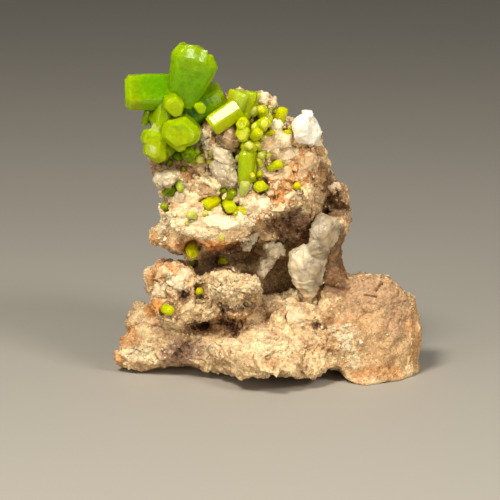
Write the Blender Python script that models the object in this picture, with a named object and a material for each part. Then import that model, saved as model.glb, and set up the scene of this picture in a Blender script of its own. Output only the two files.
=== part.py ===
"""Pyromorphite crystals on a loose piece of quartz-rich matrix rock.

Lengths are in millimetres and are turned to metres when a mesh is made. The specimen was
traced along a line of sight that looks down on it a little, so a traced point has a place
across, a height as seen along that line and a depth; its true height follows from the three.
"""

import math

import bmesh
import bpy
from mathutils import Matrix, Vector, noise
from mathutils.bvhtree import BVHTree

MM = 0.001

# The line of sight that the outlines were traced along
LOOK_DOWN = math.radians(12.0)
SIGHT = Vector((0.0, math.cos(LOOK_DOWN), -math.sin(LOOK_DOWN)))
UP_SIGHT = Vector((0.0, math.sin(LOOK_DOWN), math.cos(LOOK_DOWN)))
VIEW_DISTANCE = 400.0
VIEW_ACROSS = -2.7
VIEW_HEIGHT = 17.5
EYE = Vector((VIEW_ACROSS, 0.0, 0.0)) + UP_SIGHT * VIEW_HEIGHT - SIGHT * VIEW_DISTANCE

# Overall form
CENTRE_X = -0.14
CENTRE_Y = -1.95
SOCKET_GAP = 0.3
FLOOR_BLOCK_DEEP = 20.0
FLOOR_BLOCK_WIDE = 200.0

# How the rock is merged and roughened
MERGE_SIZE = 0.45
ROCK_TRIANGLES = 5000
LUMP_JITTER = 0.5
LEAST_RING = 0.4
COARSE_WAVE = 5.0
COARSE_HEIGHT = 0.75
COARSE_FALLOFF = 0.9
FINE_WAVE = 2.1
FINE_HEIGHT = 0.45
FINE_FALLOFF = 1.0
RIDGE_OFFSET = 1.0
RIDGE_GAIN = 2.0
WAVE_RATIO = 2.0
WAVE_LAYERS = 2

# Colours and finishes: base colour, roughness
ROCK_FINISH = ((0.62, 0.45, 0.28, 1.0), 0.9)
QUARTZ_FINISH = ((0.78, 0.72, 0.62, 1.0), 0.45)
CRYSTAL_FINISH = ((0.30, 0.58, 0.02, 1.0), 0.25)

# The matrix: every lump is a traced outline, carried from its front depth to its back depth
LUMPS = {
    "head_left": dict(
        outline=[(-17.4, 33.6), (-15.2, 36.6), (-10.0, 38.2), (-6.6, 37.0), (-6.6, 31.0),
                 (-8.3, 26.5), (-10.8, 24.4), (-14.4, 24.4), (-15.9, 26.3), (-17.1, 29.2)],
        front=-5.0, back=6.0, bevel=1.2, lean=(-0.05, 0.10)),
    "head_middle": dict(
        outline=[(-9.5, 38.0), (-6.6, 39.6), (-1.0, 39.6), (2.2, 37.0), (4.0, 30.0),
                 (2.0, 24.0), (-4.0, 21.5), (-9.0, 23.0), (-10.5, 30.0)],
        front=-6.2, back=8.5, bevel=1.6, lean=(0.0, 0.10)),
    "head_right": dict(
        outline=[(-1.5, 36.8), (1.0, 38.3), (3.2, 36.5), (7.0, 35.4), (7.8, 32.1), (8.0, 28.9),
                 (7.0, 25.9), (1.7, 25.6), (-1.0, 27.5), (-2.4, 32.1)],
        front=-5.6, back=7.5, bevel=1.2, lean=(0.25, 0.08)),
    "head_rim": dict(
        outline=[(-6.8, 40.3), (-5.4, 40.7), (-1.0, 40.4), (0.9, 39.7), (1.7, 38.0), (0.2, 36.0),
                 (-4.2, 35.5), (-6.4, 36.7)],
        front=-4.6, back=4.5, bevel=0.8, lean=(0.0, 0.1)),
    "head_corner": dict(
        outline=[(6.0, 32.6), (8.1, 32.1), (9.2, 28.5), (11.0, 25.5), (12.9, 23.1), (11.2, 22.8),
                 (8.3, 23.9), (5.6, 25.5)],
        front=-2.0, back=6.0, bevel=0.8, lean=(0.25, 0.0)),
    "pale_ledge": dict(
        outline=[(-15.9, 23.2), (-14.7, 24.8), (-10.0, 25.0), (-7.8, 23.9), (-4.9, 22.9),
                 (-2.7, 22.6), (-1.5, 21.6), (-2.7, 19.3), (-4.9, 18.2), (-9.3, 18.4),
                 (-13.0, 19.6), (-15.2, 21.4)],
        front=-9.6, back=3.0, bevel=1.3, lean=(0.0, 0.35)),
    "rising_ledge": dict(
        outline=[(-4.2, 25.5), (-1.0, 27.4), (4.6, 27.7), (7.3, 26.3), (6.4, 24.4), (2.4, 22.9),
                 (-1.0, 21.2), (-2.7, 21.6)],
        front=-7.6, back=4.0, bevel=1.0, lean=(0.15, 0.2)),
    "orange_knob": dict(
        outline=[(0.0, 26.3), (1.4, 27.7), (3.9, 27.6), (4.8, 26.0), (4.0, 24.2), (1.7, 23.6),
                 (0.2, 24.4)],
        front=-8.8, back=0.0, bevel=1.0, lean=(0.1, 0.0)),
    "block_shelf": dict(
        outline=[(-12.0, 27.8), (-9.3, 28.3), (-7.3, 26.9), (-8.6, 25.2), (-10.8, 24.9),
                 (-12.2, 25.9)],
        front=-8.2, back=0.0, bevel=0.7, lean=(0.0, 0.1)),
    "left_overhang": dict(
        outline=[(-17.2, 19.2), (-16.6, 20.7), (-15.2, 21.3), (-13.3, 20.6), (-11.8, 19.5),
                 (-11.8, 17.5), (-13.3, 16.7), (-15.9, 18.0)],
        front=-8.0, back=1.0, bevel=0.9, lean=(-0.1, 0.1)),
    "stained_band": dict(
        outline=[(-13.3, 19.8), (-2.0, 19.2), (-3.8, 17.4), (-7.8, 16.8), (-10.8, 15.9),
                 (-12.4, 16.9)],
        front=-6.2, back=4.0, bevel=0.9, lean=(0.0, 0.0)),
    "dark_roof": dict(
        outline=[(-2.7, 22.0), (0.2, 23.2), (4.6, 24.8), (8.2, 24.4), (7.8, 20.4), (4.6, 18.4),
                 (0.2, 17.8), (-2.6, 18.9)],
        front=-2.6, back=7.0, bevel=0.9, lean=(0.1, -0.25)),
    "waist": dict(
        outline=[(-11.6, 20.0), (4.6, 24.1), (10.6, 22.6), (10.2, 17.5), (11.0, 12.3),
                 (9.0, 4.0), (-11.0, 4.0), (-11.6, 10.1), (-11.4, 15.3)],
        front=1.5, back=9.5, bevel=1.5, lean=(-0.05, 0.0)),
    "brown_column": dict(
        outline=[(7.0, 21.1), (9.5, 23.0), (11.6, 22.6), (11.2, 19.7), (10.5, 17.5), (10.6, 15.3),
                 (11.5, 13.1), (12.6, 11.0), (12.0, 5.0), (7.0, 5.0), (6.9, 11.6), (7.4, 16.7)],
        front=-3.2, back=8.0, bevel=1.0, lean=(0.2, 0.12)),
    "angular_lump": dict(
        outline=[(-17.4, 14.6), (-15.9, 16.2), (-13.3, 15.5), (-11.2, 14.4), (-9.4, 12.6),
                 (-9.8, 9.5), (-13.0, 8.9), (-17.1, 9.6), (-17.4, 12.3), (-17.8, 13.7)],
        front=-8.4, back=4.0, bevel=1.1, lean=(0.0, 0.15)),
    "spongy_upper": dict(
        outline=[(-9.6, 12.9), (-8.9, 14.3), (-7.4, 15.1), (-5.4, 14.8), (-4.2, 14.3),
                 (-2.4, 14.0), (-1.0, 12.5), (-1.2, 10.7), (-3.4, 10.1), (-6.4, 10.4),
                 (-9.0, 10.7)],
        front=-11.4, back=2.0, bevel=1.0, lean=(0.0, 0.15)),
    "spongy_lower": dict(
        outline=[(-9.0, 11.2), (-1.5, 10.9), (-1.8, 9.0), (-3.3, 7.6), (-5.9, 7.3), (-8.5, 8.1)],
        front=-9.8, back=2.0, bevel=0.9, lean=(0.0, 0.3)),
    "crystal_tray": dict(
        outline=[(-17.4, 10.4), (-12.2, 9.9), (-9.3, 10.1), (-7.8, 8.4), (-9.3, 7.0),
                 (-13.0, 6.7), (-15.9, 7.6), (-18.1, 9.0)],
        front=-9.2, back=3.0, bevel=0.9, lean=(0.0, 0.5)),
    "left_slope": dict(
        outline=[(-22.6, 2.0), (-21.5, 4.6), (-20.7, 6.0), (-19.9, 7.8), (-19.1, 9.5),
                 (-17.4, 9.3), (-13.7, 7.2), (-10.0, 6.0), (-9.0, 0.3), (-12.0, 0.4),
                 (-14.4, 0.5), (-18.8, -0.2), (-22.1, 0.6)],
        front=-4.4, back=7.5, bevel=1.4, lean=(-0.30, 0.25)),
    "mound_below_slab": dict(
        outline=[(1.5, 9.6), (3.5, 10.4), (6.0, 10.0), (7.8, 8.2), (8.4, 5.0), (5.0, 4.0),
                 (0.5, 5.0), (0.3, 7.8)],
        front=-8.0, back=3.0, bevel=1.3, lean=(0.0, 0.3)),
    "recess_floor": dict(
        outline=[(-4.0, 9.5), (1.0, 10.8), (5.0, 11.6), (8.0, 10.0), (8.5, 4.0), (-5.0, 4.0)],
        front=-3.5, back=6.0, bevel=1.2, lean=(0.0, 0.4)),
}

# The matrix: every boulder is the hull of its corners (across, depth, true height)
BOULDERS = {
    "base_prow": [
        (-10.0, -4.7, 0.9), (-5.6, -11.0, 2.0), (-1.4, -17.0, 3.6), (1.4, -14.0, 2.4),
        (4.6, -12.0, 2.2), (10.5, -8.2, 1.9), (-10.0, 6.0, -1.0), (10.0, 6.0, -1.0),
        (-10.5, -6.0, 6.0), (-4.0, -11.6, 6.4), (-1.4, -15.8, 5.8), (2.6, -12.0, 7.0),
        (-3.0, -8.5, 7.8), (3.0, -8.6, 8.4), (8.0, -8.0, 7.6), (-9.0, 3.0, 9.0), (8.0, 3.0, 9.0)],
    "base_joint": [
        (5.0, -10.0, 2.2), (9.0, -8.8, 1.9), (12.0, -8.6, 1.6), (15.0, -8.0, 3.0),
        (6.0, -9.6, 7.0), (10.0, -8.4, 8.0), (13.0, -7.4, 9.0), (8.0, 2.0, 1.0), (14.0, 2.0, 1.0),
        (8.0, 2.0, 8.0), (13.0, 2.0, 9.0)],
    "right_lobe": [
        (10.6, -8.4, 0.9), (12.2, -9.2, 0.1), (15.6, -9.2, -0.3), (19.0, -6.7, -0.2),
        (21.2, -3.6, -0.1), (22.3, -0.5, 0.1), (22.7, -0.8, 3.9), (22.2, -2.4, 7.2),
        (21.1, -2.8, 12.0), (18.0, -3.5, 14.2), (16.0, -4.0, 15.1), (13.2, -4.4, 15.0),
        (11.4, -4.8, 13.9), (9.0, -6.6, 8.0), (21.5, 6.5, -0.5), (21.3, 5.5, 9.0),
        (18.0, 4.5, 12.6), (13.0, 4.5, 13.6), (10.0, 8.5, -1.0), (10.0, 8.0, 11.5)],
    "block_seat": [
        (3.4, -4.6, 33.0), (7.0, -4.2, 33.0), (7.4, -3.4, 35.2), (3.6, -3.6, 36.4),
        (6.8, 1.0, 35.4), (3.2, 1.0, 37.0), (7.4, 1.0, 32.0), (3.0, 1.0, 31.0)],
    "base_back": [
        (-21.0, 4.0, -0.5), (-17.0, 8.5, -1.0), (-2.0, 12.0, -1.0), (13.0, 10.0, -1.0),
        (19.0, 5.0, -0.5), (-19.5, 3.5, 6.5), (-14.0, 8.0, 9.0), (-1.0, 12.0, 10.0),
        (12.0, 9.0, 11.0), (16.0, 4.0, 10.5)],
    "waist_back": [
        (-11.5, 3.0, 9.0), (-9.0, 10.0, 8.0), (3.0, 12.5, 9.0), (10.0, 9.5, 10.0),
        (10.5, 4.0, 14.0), (-10.5, 3.0, 20.0), (-7.0, 9.0, 22.0), (4.0, 10.5, 24.0),
        (9.5, 6.0, 24.0)],
    "back_step": [
        (-8.0, 9.0, 11.0), (2.0, 12.0, 10.0), (7.0, 11.0, 14.0), (3.0, 12.5, 16.5),
        (-6.0, 11.0, 15.5), (-9.0, 5.0, 13.0), (6.0, 5.0, 13.0)],
    "back_shoulder": [
        (-12.0, 8.0, 22.0), (-4.0, 11.0, 23.0), (-2.0, 11.5, 29.0), (-9.0, 10.0, 31.0),
        (-13.0, 6.0, 28.0), (-4.0, 4.0, 25.0), (-10.0, 4.0, 27.0)],
    "head_back": [
        (-15.0, 3.0, 25.0), (-9.0, 9.0, 22.0), (5.0, 10.0, 21.0), (10.0, 6.0, 22.5),
        (-16.0, 3.0, 31.0), (-12.0, 6.0, 35.0), (-6.0, 7.0, 38.2), (0.0, 6.5, 38.4),
        (5.0, 6.0, 35.0), (7.2, 5.0, 30.0)],
}

# Hollows pressed into the merged rock: place across, height as seen, radius, depth
PITS = [
    (-10.4, 37.4, 1.9, 2.2),
    (9.4, 24.4, 1.2, 3.0),
    (10.9, 24.0, 1.0, 3.0),
    (-9.0, 26.2, 1.1, 1.2),
    (1.0, 25.4, 0.8, 1.0),
    (-12.5, 10.9, 0.8, 1.4),
    (-10.4, 6.5, 1.5, 2.4),
    (-6.6, 7.2, 0.8, 1.4),
    (-4.9, 5.7, 0.8, 1.3),
    (7.2, 6.5, 0.6, 1.0),
    (2.3, 13.7, 2.4, 2.5),
    (-4.2, 16.4, 2.6, 2.5),
]

# Quartz blocks, each of one or two hulls: corners as (across, height as seen, depth)
QUARTZ = {
    "quartz_slab": [
        [(7.2, 23.0, -2.6), (10.0, 22.6, -3.2), (10.8, 21.3, -2.8), (9.7, 18.6, -3.4),
         (8.0, 15.6, -4.2), (5.4, 16.8, -4.6), (6.3, 19.0, -4.6), (6.4, 21.2, -3.6),
         (8.6, 20.4, -4.6), (7.2, 17.0, -5.2), (8.6, 21.0, 0.5), (6.6, 17.0, 0.5)],
        [(3.0, 17.4, -4.0), (6.0, 18.7, -4.2), (8.6, 16.6, -4.0), (7.8, 12.6, -4.4),
         (6.6, 10.6, -4.8), (5.4, 10.3, -4.8), (4.0, 12.4, -4.6), (2.9, 15.0, -4.4),
         (4.8, 15.0, -5.8), (6.4, 14.0, -5.4), (5.6, 15.0, 0.5), (6.8, 13.0, 0.5)]],
    "quartz_block_upper_right": [
        [(3.5, 36.0, -6.6), (4.8, 37.6, -5.6), (6.9, 36.6, -5.0), (7.6, 35.2, -4.6),
         (7.3, 33.7, -5.0), (5.8, 32.9, -6.2), (4.0, 33.4, -7.2), (4.6, 35.8, -7.6),
         (6.9, 35.6, -2.6), (4.6, 36.6, -2.4), (6.6, 33.6, -2.6), (4.2, 33.6, -2.6)]],
    "quartz_block_left": [
        [(-16.9, 28.0, -6.0), (-16.2, 28.9, -5.8), (-14.0, 29.0, -6.0), (-13.0, 28.2, -6.8),
         (-13.6, 26.8, -7.0), (-15.2, 26.3, -6.8), (-16.4, 26.8, -6.4), (-14.8, 27.8, -7.8),
         (-15.4, 27.4, -2.0), (-14.0, 27.8, -2.0)]],
    "quartz_block_middle": [
        [(-8.6, 30.6, -7.6), (-4.6, 30.8, -7.4), (-3.9, 29.0, -7.6), (-4.4, 27.8, -8.0),
         (-5.9, 26.6, -8.6), (-8.2, 27.4, -8.6), (-9.6, 29.2, -7.8), (-6.8, 28.8, -9.4),
         (-7.0, 29.4, -3.0), (-5.4, 28.4, -3.0)],
        [(-7.8, 32.2, -7.0), (-5.4, 32.2, -7.0), (-4.8, 30.9, -7.4), (-5.4, 30.2, -8.2),
         (-7.6, 30.3, -8.2), (-6.6, 31.2, -8.5), (-6.6, 31.2, -3.0)]],
    "quartz_block_upper": [
        [(-8.2, 34.6, -7.0), (-6.8, 35.9, -6.4), (-4.4, 36.0, -6.4), (-3.6, 34.4, -6.8),
         (-4.4, 32.7, -7.4), (-6.4, 32.5, -7.8), (-8.0, 33.0, -7.6), (-6.0, 34.2, -8.2),
         (-6.6, 34.4, -3.0), (-5.0, 33.6, -3.0)]],
    "quartz_shard": [
        [(-4.4, 19.2, -4.2), (-1.4, 19.8, -3.2), (-0.9, 18.8, -3.6), (-2.5, 17.0, -4.6),
         (-3.4, 17.4, -5.0), (-2.6, 18.8, -5.6), (-2.4, 19.2, -0.5)]],
    "quartz_lump": [
        [(-0.9, 18.4, -2.6), (0.6, 18.8, -2.8), (2.3, 18.2, -2.4), (2.6, 16.9, -2.4),
         (1.2, 16.0, -3.0), (-0.2, 16.6, -3.4), (0.8, 17.4, -4.4), (1.0, 17.0, 1.6)],
        [(0.8, 16.9, -2.8), (1.4, 16.0, -2.8), (-0.2, 14.2, -3.8), (-1.6, 12.9, -4.2),
         (-2.3, 13.9, -3.8), (-0.9, 16.0, -3.4), (-0.4, 15.0, -4.6), (-0.2, 15.2, 0.6)]],
}

# Crystals: foot and tip as (across, height as seen, depth), width over corners and roll in degrees.
# With no roll the middle of a side face looks towards the eye, and a crystal that points at the
# eye has that face upward.
MAIN_CLUSTER = [
    dict(foot=(-13.2, 38.6, -4.8), tip=(-10.3, 46.8, -3.9), width=6.8, roll=8, tapered=True),
    dict(foot=(-12.8, 40.6, -4.8), tip=(-21.1, 40.2, -5.2), width=5.6, roll=4),
    dict(foot=(-12.6, 37.4, -3.0), tip=(-6.7, 40.2, -2.2), width=4.6, roll=10),
    dict(foot=(-14.2, 39.6, -5.2), tip=(-13.7, 38.2, -8.4), width=3.0, roll=20),
    dict(foot=(-15.2, 39.2, -5.6), tip=(-15.8, 34.6, -6.0), width=2.6, roll=0),
    dict(foot=(-12.6, 35.4, -3.6), tip=(-13.2, 34.4, -9.1), width=5.4, roll=15),
    dict(foot=(-14.0, 33.7, -4.6), tip=(-17.6, 32.9, -7.8), width=5.0, roll=10),
    dict(foot=(-15.8, 35.6, -5.2), tip=(-17.5, 37.4, -4.8), width=1.9, roll=0),
    dict(foot=(-11.9, 32.6, -4.6), tip=(-11.6, 31.0, -7.0), width=2.2, roll=0),
    dict(foot=(-10.6, 38.9, -3.4), tip=(-9.9, 38.2, -6.0), width=1.9, roll=10),
    dict(foot=(-13.4, 34.6, -4.2), tip=(-15.4, 31.8, -6.4), width=2.4, roll=20),
]
BLADE_GROUP = [
    dict(foot=(-4.4, 38.4, -6.6), tip=(-8.4, 35.6, -7.6), width=2.8, roll=20),
    dict(foot=(-5.0, 37.2, -5.6), tip=(-3.6, 40.6, -6.2), width=2.0, roll=8),
    dict(foot=(-5.2, 38.6, -5.4), tip=(-5.1, 40.8, -5.4), width=1.2, roll=15),
    dict(foot=(-3.6, 37.0, -5.6), tip=(-2.6, 40.5, -5.6), width=1.5, roll=25),
    dict(foot=(-2.6, 38.0, -5.0), tip=(-1.8, 40.5, -4.8), width=1.2, roll=0),
]
COLUMN_GROUP = [
    dict(foot=(-3.5, 35.2, -5.4), tip=(-3.9, 36.0, -8.4), width=1.8, roll=0),
    dict(foot=(-2.6, 34.2, -4.6), tip=(-3.9, 34.6, -8.6), width=2.3, roll=10),
    dict(foot=(-1.9, 34.4, -5.2), tip=(-1.6, 35.3, -8.3), width=2.1, roll=40),
    dict(foot=(-2.2, 33.4, -4.8), tip=(-3.0, 32.4, -8.4), width=2.2, roll=25),
    dict(foot=(-3.1, 27.6, -7.2), tip=(-2.9, 32.2, -7.4), width=2.8, roll=0),
    dict(foot=(-2.9, 28.6, -5.8), tip=(-3.7, 27.1, -7.7), width=1.9, roll=15),
    dict(foot=(-1.2, 35.6, -4.6), tip=(-0.5, 36.1, -8.1), width=2.2, roll=35),
    dict(foot=(-0.9, 37.0, -4.6), tip=(-0.8, 38.0, -7.3), width=1.7, roll=5),
    dict(foot=(-1.6, 29.6, -5.4), tip=(-1.2, 31.1, -7.5), width=1.6, roll=5),
]
HOLLOW_GROUP = [
    dict(foot=(-6.9, 25.3, -5.4), tip=(-9.5, 23.7, -8.4), width=2.0, roll=10),
    dict(foot=(-5.4, 26.5, -4.2), tip=(-7.4, 24.9, -6.2), width=2.0, roll=0),
    dict(foot=(-5.9, 24.4, -5.0), tip=(-5.5, 23.6, -9.0), width=2.1, roll=0),
    dict(foot=(-5.2, 23.4, -7.4), tip=(-3.2, 23.1, -8.4), width=1.1, roll=0),
]

# Small single crystals: centre (across, height as seen), how they lean from the sight line
# (across, up), how far they are sunk and stand proud of the rock, width and roll
SINGLES = {
    "pyromorphite_bud": dict(at=(-1.2, 26.8), lean=(0.1, 0.1), sunk=1.2, proud=1.2, width=2.0),
    "pyromorphite_oval": dict(at=(1.8, 37.0), lean=(0.5, 1.6), sunk=0.8, proud=1.5, width=1.8),
    "pyromorphite_speck_upper": dict(at=(2.8, 34.7), lean=(0.6, 0.0), sunk=0.8, proud=0.8, width=1.1),
    "pyromorphite_lying": dict(at=(1.0, 29.9), lean=(1.8, 0.6), sunk=1.0, proud=1.1, width=1.5),
    "pyromorphite_speck_right": dict(at=(4.2, 26.9), lean=(0.0, 0.4), sunk=0.8, proud=0.7, width=1.1),
    "pyromorphite_below_block": dict(at=(-13.9, 26.2), lean=(1.6, 0.3), sunk=1.2, proud=0.6, width=1.5),
    "pyromorphite_left_edge": dict(at=(-15.3, 23.9), lean=(-0.4, 0.4), sunk=1.0, proud=0.7, width=1.1),
    "pyromorphite_recess_upper": dict(at=(-11.2, 17.4), lean=(0.2, -0.5), sunk=1.2, proud=1.4, width=1.8),
    "pyromorphite_recess_lower": dict(at=(-11.4, 15.8), lean=(0.0, -0.2), sunk=1.0, proud=1.0, width=1.5),
    "pyromorphite_on_sponge": dict(at=(-6.8, 15.6), lean=(0.2, 0.9), sunk=1.0, proud=1.1, width=1.4),
    "pyromorphite_speck_lower": dict(at=(-10.1, 11.5), lean=(0.3, 0.3), sunk=0.8, proud=0.6, width=1.1),
    "pyromorphite_tray": dict(at=(-14.6, 8.7), lean=(1.6, -0.6), sunk=0.9, proud=0.8, width=1.6),
}

# Barrel form: place along the crystal and share of the full width, foot to tip
FULL_BARREL = [(0.0, 0.78), (0.12, 0.95), (0.5, 1.0), (0.88, 0.95), (1.0, 0.78)]
TAPERED_BARREL = [(0.0, 0.45), (0.25, 0.70), (0.6, 0.93), (0.88, 1.0), (1.0, 0.82)]
SMALL_BARREL = [(0.0, 0.8), (0.8, 1.0), (1.0, 0.78)]
SOCKET_PRISM = [(0.0, 1.0), (1.0, 1.0)]
SMALL_WIDTH = 3.0
HEX_SIDES = 6
ALONG_SIGHT = 0.8
SINGLE_ROLL = 15.0


def clear_scene():
    """Remove every object, so that the model starts from nothing."""
    for thing in list(bpy.data.objects):
        bpy.data.objects.remove(thing)


def seen(across, height, depth):
    """Real point of a traced one: where its line from the eye reaches its depth."""
    line = Vector((across, 0.0, 0.0)) + UP_SIGHT * height - EYE
    return EYE + line * ((depth - EYE.y) / line.y)


def traced(point):
    """Place across and height of a real point, as it was traced."""
    line = point - EYE
    spot = EYE + line * (VIEW_DISTANCE / line.dot(SIGHT))
    return spot.x, spot.dot(UP_SIGHT)


def placed(point):
    """Point in metres in the part's frame, from one in millimetres in the traced frame."""
    return Vector((point.x - CENTRE_X, point.y - CENTRE_Y, point.z)) * MM


def add_object(name, mesh, material):
    """Link a mesh as a named object with its material."""
    thing = bpy.data.objects.new(name, mesh)
    bpy.context.scene.collection.objects.link(thing)
    mesh.materials.clear()
    mesh.materials.append(material)
    return thing


def make_material(name, finish):
    """Principled material from a base colour and a roughness."""
    colour, roughness = finish
    material = bpy.data.materials.new(name)
    material.use_nodes = True
    shader = material.node_tree.nodes["Principled BSDF"]
    shader.inputs["Base Color"].default_value = colour
    shader.inputs["Roughness"].default_value = roughness
    return material


def hull_mesh(name, points):
    """Closed mesh of the convex hull of some points."""
    mesh = bpy.data.meshes.new(name)
    form = bmesh.new()
    for point in points:
        form.verts.new(placed(point))
    bmesh.ops.convex_hull(form, input=form.verts)
    inside = [vertex for vertex in form.verts if not vertex.link_faces]
    bmesh.ops.delete(form, geom=inside, context="VERTS")
    bmesh.ops.recalc_face_normals(form, faces=form.faces)
    form.to_mesh(mesh)
    form.free()
    return mesh


def lump_mesh(name, outline, front, back, bevel, lean):
    """Closed mesh of a lump: its outline on four rings, the end rings drawn in by the bevel."""
    centre = sum((Vector(corner) for corner in outline), Vector((0.0, 0.0))) / len(outline)
    rings = ((front, bevel), (front + bevel, 0.0), (back - bevel, 0.0), (back, bevel))
    mesh = bpy.data.meshes.new(name)
    form = bmesh.new()
    loops = []
    for depth, drawn_in in rings:
        loop = []
        for corner in outline:
            arm = Vector(corner) - centre
            spot = centre + arm * max(1.0 - drawn_in / arm.length, LEAST_RING)
            tilt = lean[0] * (spot.x - centre.x) + lean[1] * (spot.y - centre.y)
            wobble = LUMP_JITTER * noise.noise(Vector((spot.x, spot.y, depth)))
            own_depth = depth + wobble + (tilt if depth < 0.5 * (front + back) else 0.0)
            loop.append(form.verts.new(placed(seen(spot.x, spot.y, own_depth))))
        loops.append(loop)
    count = len(outline)
    for near, far in zip(loops, loops[1:]):
        for i in range(count):
            j = (i + 1) % count
            form.faces.new((near[i], near[j], far[j], far[i]))
    form.faces.new(loops[0])
    form.faces.new(loops[-1])
    bmesh.ops.triangulate(form, faces=form.faces)
    bmesh.ops.recalc_face_normals(form, faces=form.faces)
    form.to_mesh(mesh)
    form.free()
    return mesh


def baked(thing, name):
    """Mesh of an object as its modifiers leave it."""
    bpy.context.view_layer.update()
    graph = bpy.context.evaluated_depsgraph_get()
    mesh = bpy.data.meshes.new_from_object(thing.evaluated_get(graph))
    mesh.name = name
    return mesh


def rough_offset(point):
    """How far the rock's surface is moved outward at a point, in millimetres."""
    coarse = noise.fractal(point / COARSE_WAVE, COARSE_FALLOFF, WAVE_RATIO, WAVE_LAYERS,
                           noise_basis="PERLIN_ORIGINAL")
    fine = noise.ridged_multi_fractal(point / FINE_WAVE, FINE_FALLOFF, WAVE_RATIO, WAVE_LAYERS,
                                      RIDGE_OFFSET, RIDGE_GAIN)
    return COARSE_HEIGHT * coarse + FINE_HEIGHT * (fine - 1.0)


def pit_offset(point):
    """How far a point sinks back along the sight line into the pits, in millimetres."""
    across, height = traced(point)
    sink = 0.0
    for pit_across, pit_height, radius, depth in PITS:
        far = math.hypot(across - pit_across, height - pit_height) / radius
        sink = max(sink, depth * math.exp(-far * far))
    return sink


def roughened(mesh):
    """Move every point of the merged rock by its roughness and by the pits."""
    offset = Vector((CENTRE_X, CENTRE_Y, 0.0))
    moves = []
    for vertex in mesh.vertices:
        point = vertex.co / MM + offset
        facing = max(-vertex.normal.dot(SIGHT), 0.0)
        move = vertex.normal * rough_offset(point) + SIGHT * pit_offset(point) * facing
        moves.append(vertex.co + move * MM)
    for vertex, spot in zip(mesh.vertices, moves):
        vertex.co = spot
    mesh.update()


def block_below_floor():
    """Cutter that takes off whatever reaches below the floor."""
    wide = FLOOR_BLOCK_WIDE * MM
    deep = FLOOR_BLOCK_DEEP * MM
    bpy.ops.mesh.primitive_cube_add(size=1.0, location=(0.0, 0.0, -deep / 2.0))
    block = bpy.context.object
    block.name = "floor_cutter"
    block.scale = (wide, wide, deep)
    return block


def cut(thing, cutter):
    """Take a cutter out of an object for good, and remove the cutter."""
    step = thing.modifiers.new("cut", "BOOLEAN")
    step.operation = "DIFFERENCE"
    step.solver = "EXACT"
    step.use_self = True
    step.object = cutter
    mesh = baked(thing, thing.name)
    thing.modifiers.clear()
    thing.data = mesh
    bpy.data.objects.remove(cutter)


def build_rock(material):
    """The matrix: lumps and boulders merged by a voxel remesh, roughened and thinned."""
    form = bmesh.new()
    for name, lump in LUMPS.items():
        form.from_mesh(lump_mesh(name, **lump))
    for name, corners in BOULDERS.items():
        form.from_mesh(hull_mesh(name, [Vector(corner) for corner in corners]))
    mesh = bpy.data.meshes.new("rock_lumps")
    form.to_mesh(mesh)
    form.free()
    rock = add_object("matrix_rock", mesh, material)
    merge = rock.modifiers.new("merge", "REMESH")
    merge.mode = "VOXEL"
    merge.voxel_size = MERGE_SIZE * MM
    mesh = baked(rock, "rock_merged")
    rock.modifiers.clear()
    roughened(mesh)
    rock.data = mesh
    thin = rock.modifiers.new("thin", "DECIMATE")
    thin.ratio = ROCK_TRIANGLES / (2.0 * len(mesh.polygons))
    rock.data = baked(rock, "rock_thinned")
    rock.modifiers.clear()
    cut(rock, block_below_floor())
    return rock


def first_corner(axis, roll):
    """Direction of a barrel's first corner: half a side on from the face that looks at the eye."""
    front = -SIGHT if abs(axis.dot(SIGHT)) < ALONG_SIGHT else UP_SIGHT
    front = (front - axis * front.dot(axis)).normalized()
    return Matrix.Rotation(math.radians(roll) - math.pi / HEX_SIDES, 3, axis) @ front


def barrel_points(rings, foot, tip, width, roll, grow=0.0):
    """Corners of one barrel crystal, ring by ring; grow makes a socket around it."""
    axis = (tip - foot).normalized()
    side = first_corner(axis, roll)
    other = axis.cross(side)
    length = (tip - foot).length
    points = []
    for along, share in rings:
        middle = foot + axis * (along * length + grow * (2.0 * along - 1.0))
        radius = share * width / 2.0 + grow / math.cos(math.pi / HEX_SIDES)
        for i in range(HEX_SIDES):
            turn = 2.0 * math.pi * i / HEX_SIDES
            points.append(middle + (side * math.cos(turn) + other * math.sin(turn)) * radius)
    return points


def crystal_mesh(name, crystal):
    """Closed mesh of one barrel crystal; a small one has fewer rings."""
    rings = FULL_BARREL if crystal["width"] >= SMALL_WIDTH else SMALL_BARREL
    form = {key: value for key, value in crystal.items() if key != "tapered"}
    return hull_mesh(name, barrel_points(TAPERED_BARREL if "tapered" in crystal else rings, **form))


def grown_hull(points, grow):
    """Points of a hull and of its copies pushed out each way, for a socket around it."""
    axes = (Vector((1.0, 0.0, 0.0)), Vector((0.0, 1.0, 0.0)), Vector((0.0, 0.0, 1.0)))
    pushes = [axis * way * grow for axis in axes for way in (-1.0, 1.0)]
    return [point + push for point in points for push in pushes]


def united(name, meshes, material):
    """One solid of several that overlap: each is united with the first one."""
    whole = add_object(name, meshes[0], material)
    for mesh in meshes[1:]:
        piece = add_object(name + "_piece", mesh, material)
        step = whole.modifiers.new("unite", "BOOLEAN")
        step.operation = "UNION"
        step.solver = "EXACT"
        step.object = piece
        joined = baked(whole, name)
        whole.modifiers.clear()
        whole.data = joined
        bpy.data.objects.remove(piece)
    return whole


def socket_points(foot, tip, width, roll, tapered=False):
    """Corners of the socket around a crystal, a plain prism whatever the crystal's taper."""
    return barrel_points(SOCKET_PRISM, foot, tip, width, roll, grow=SOCKET_GAP)


def traced_crystals(crystals):
    """Crystals with real points in place of traced ones."""
    ends = [dict(foot=seen(*crystal["foot"]), tip=seen(*crystal["tip"])) for crystal in crystals]
    return [{**crystal, **end} for crystal, end in zip(crystals, ends)]


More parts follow.
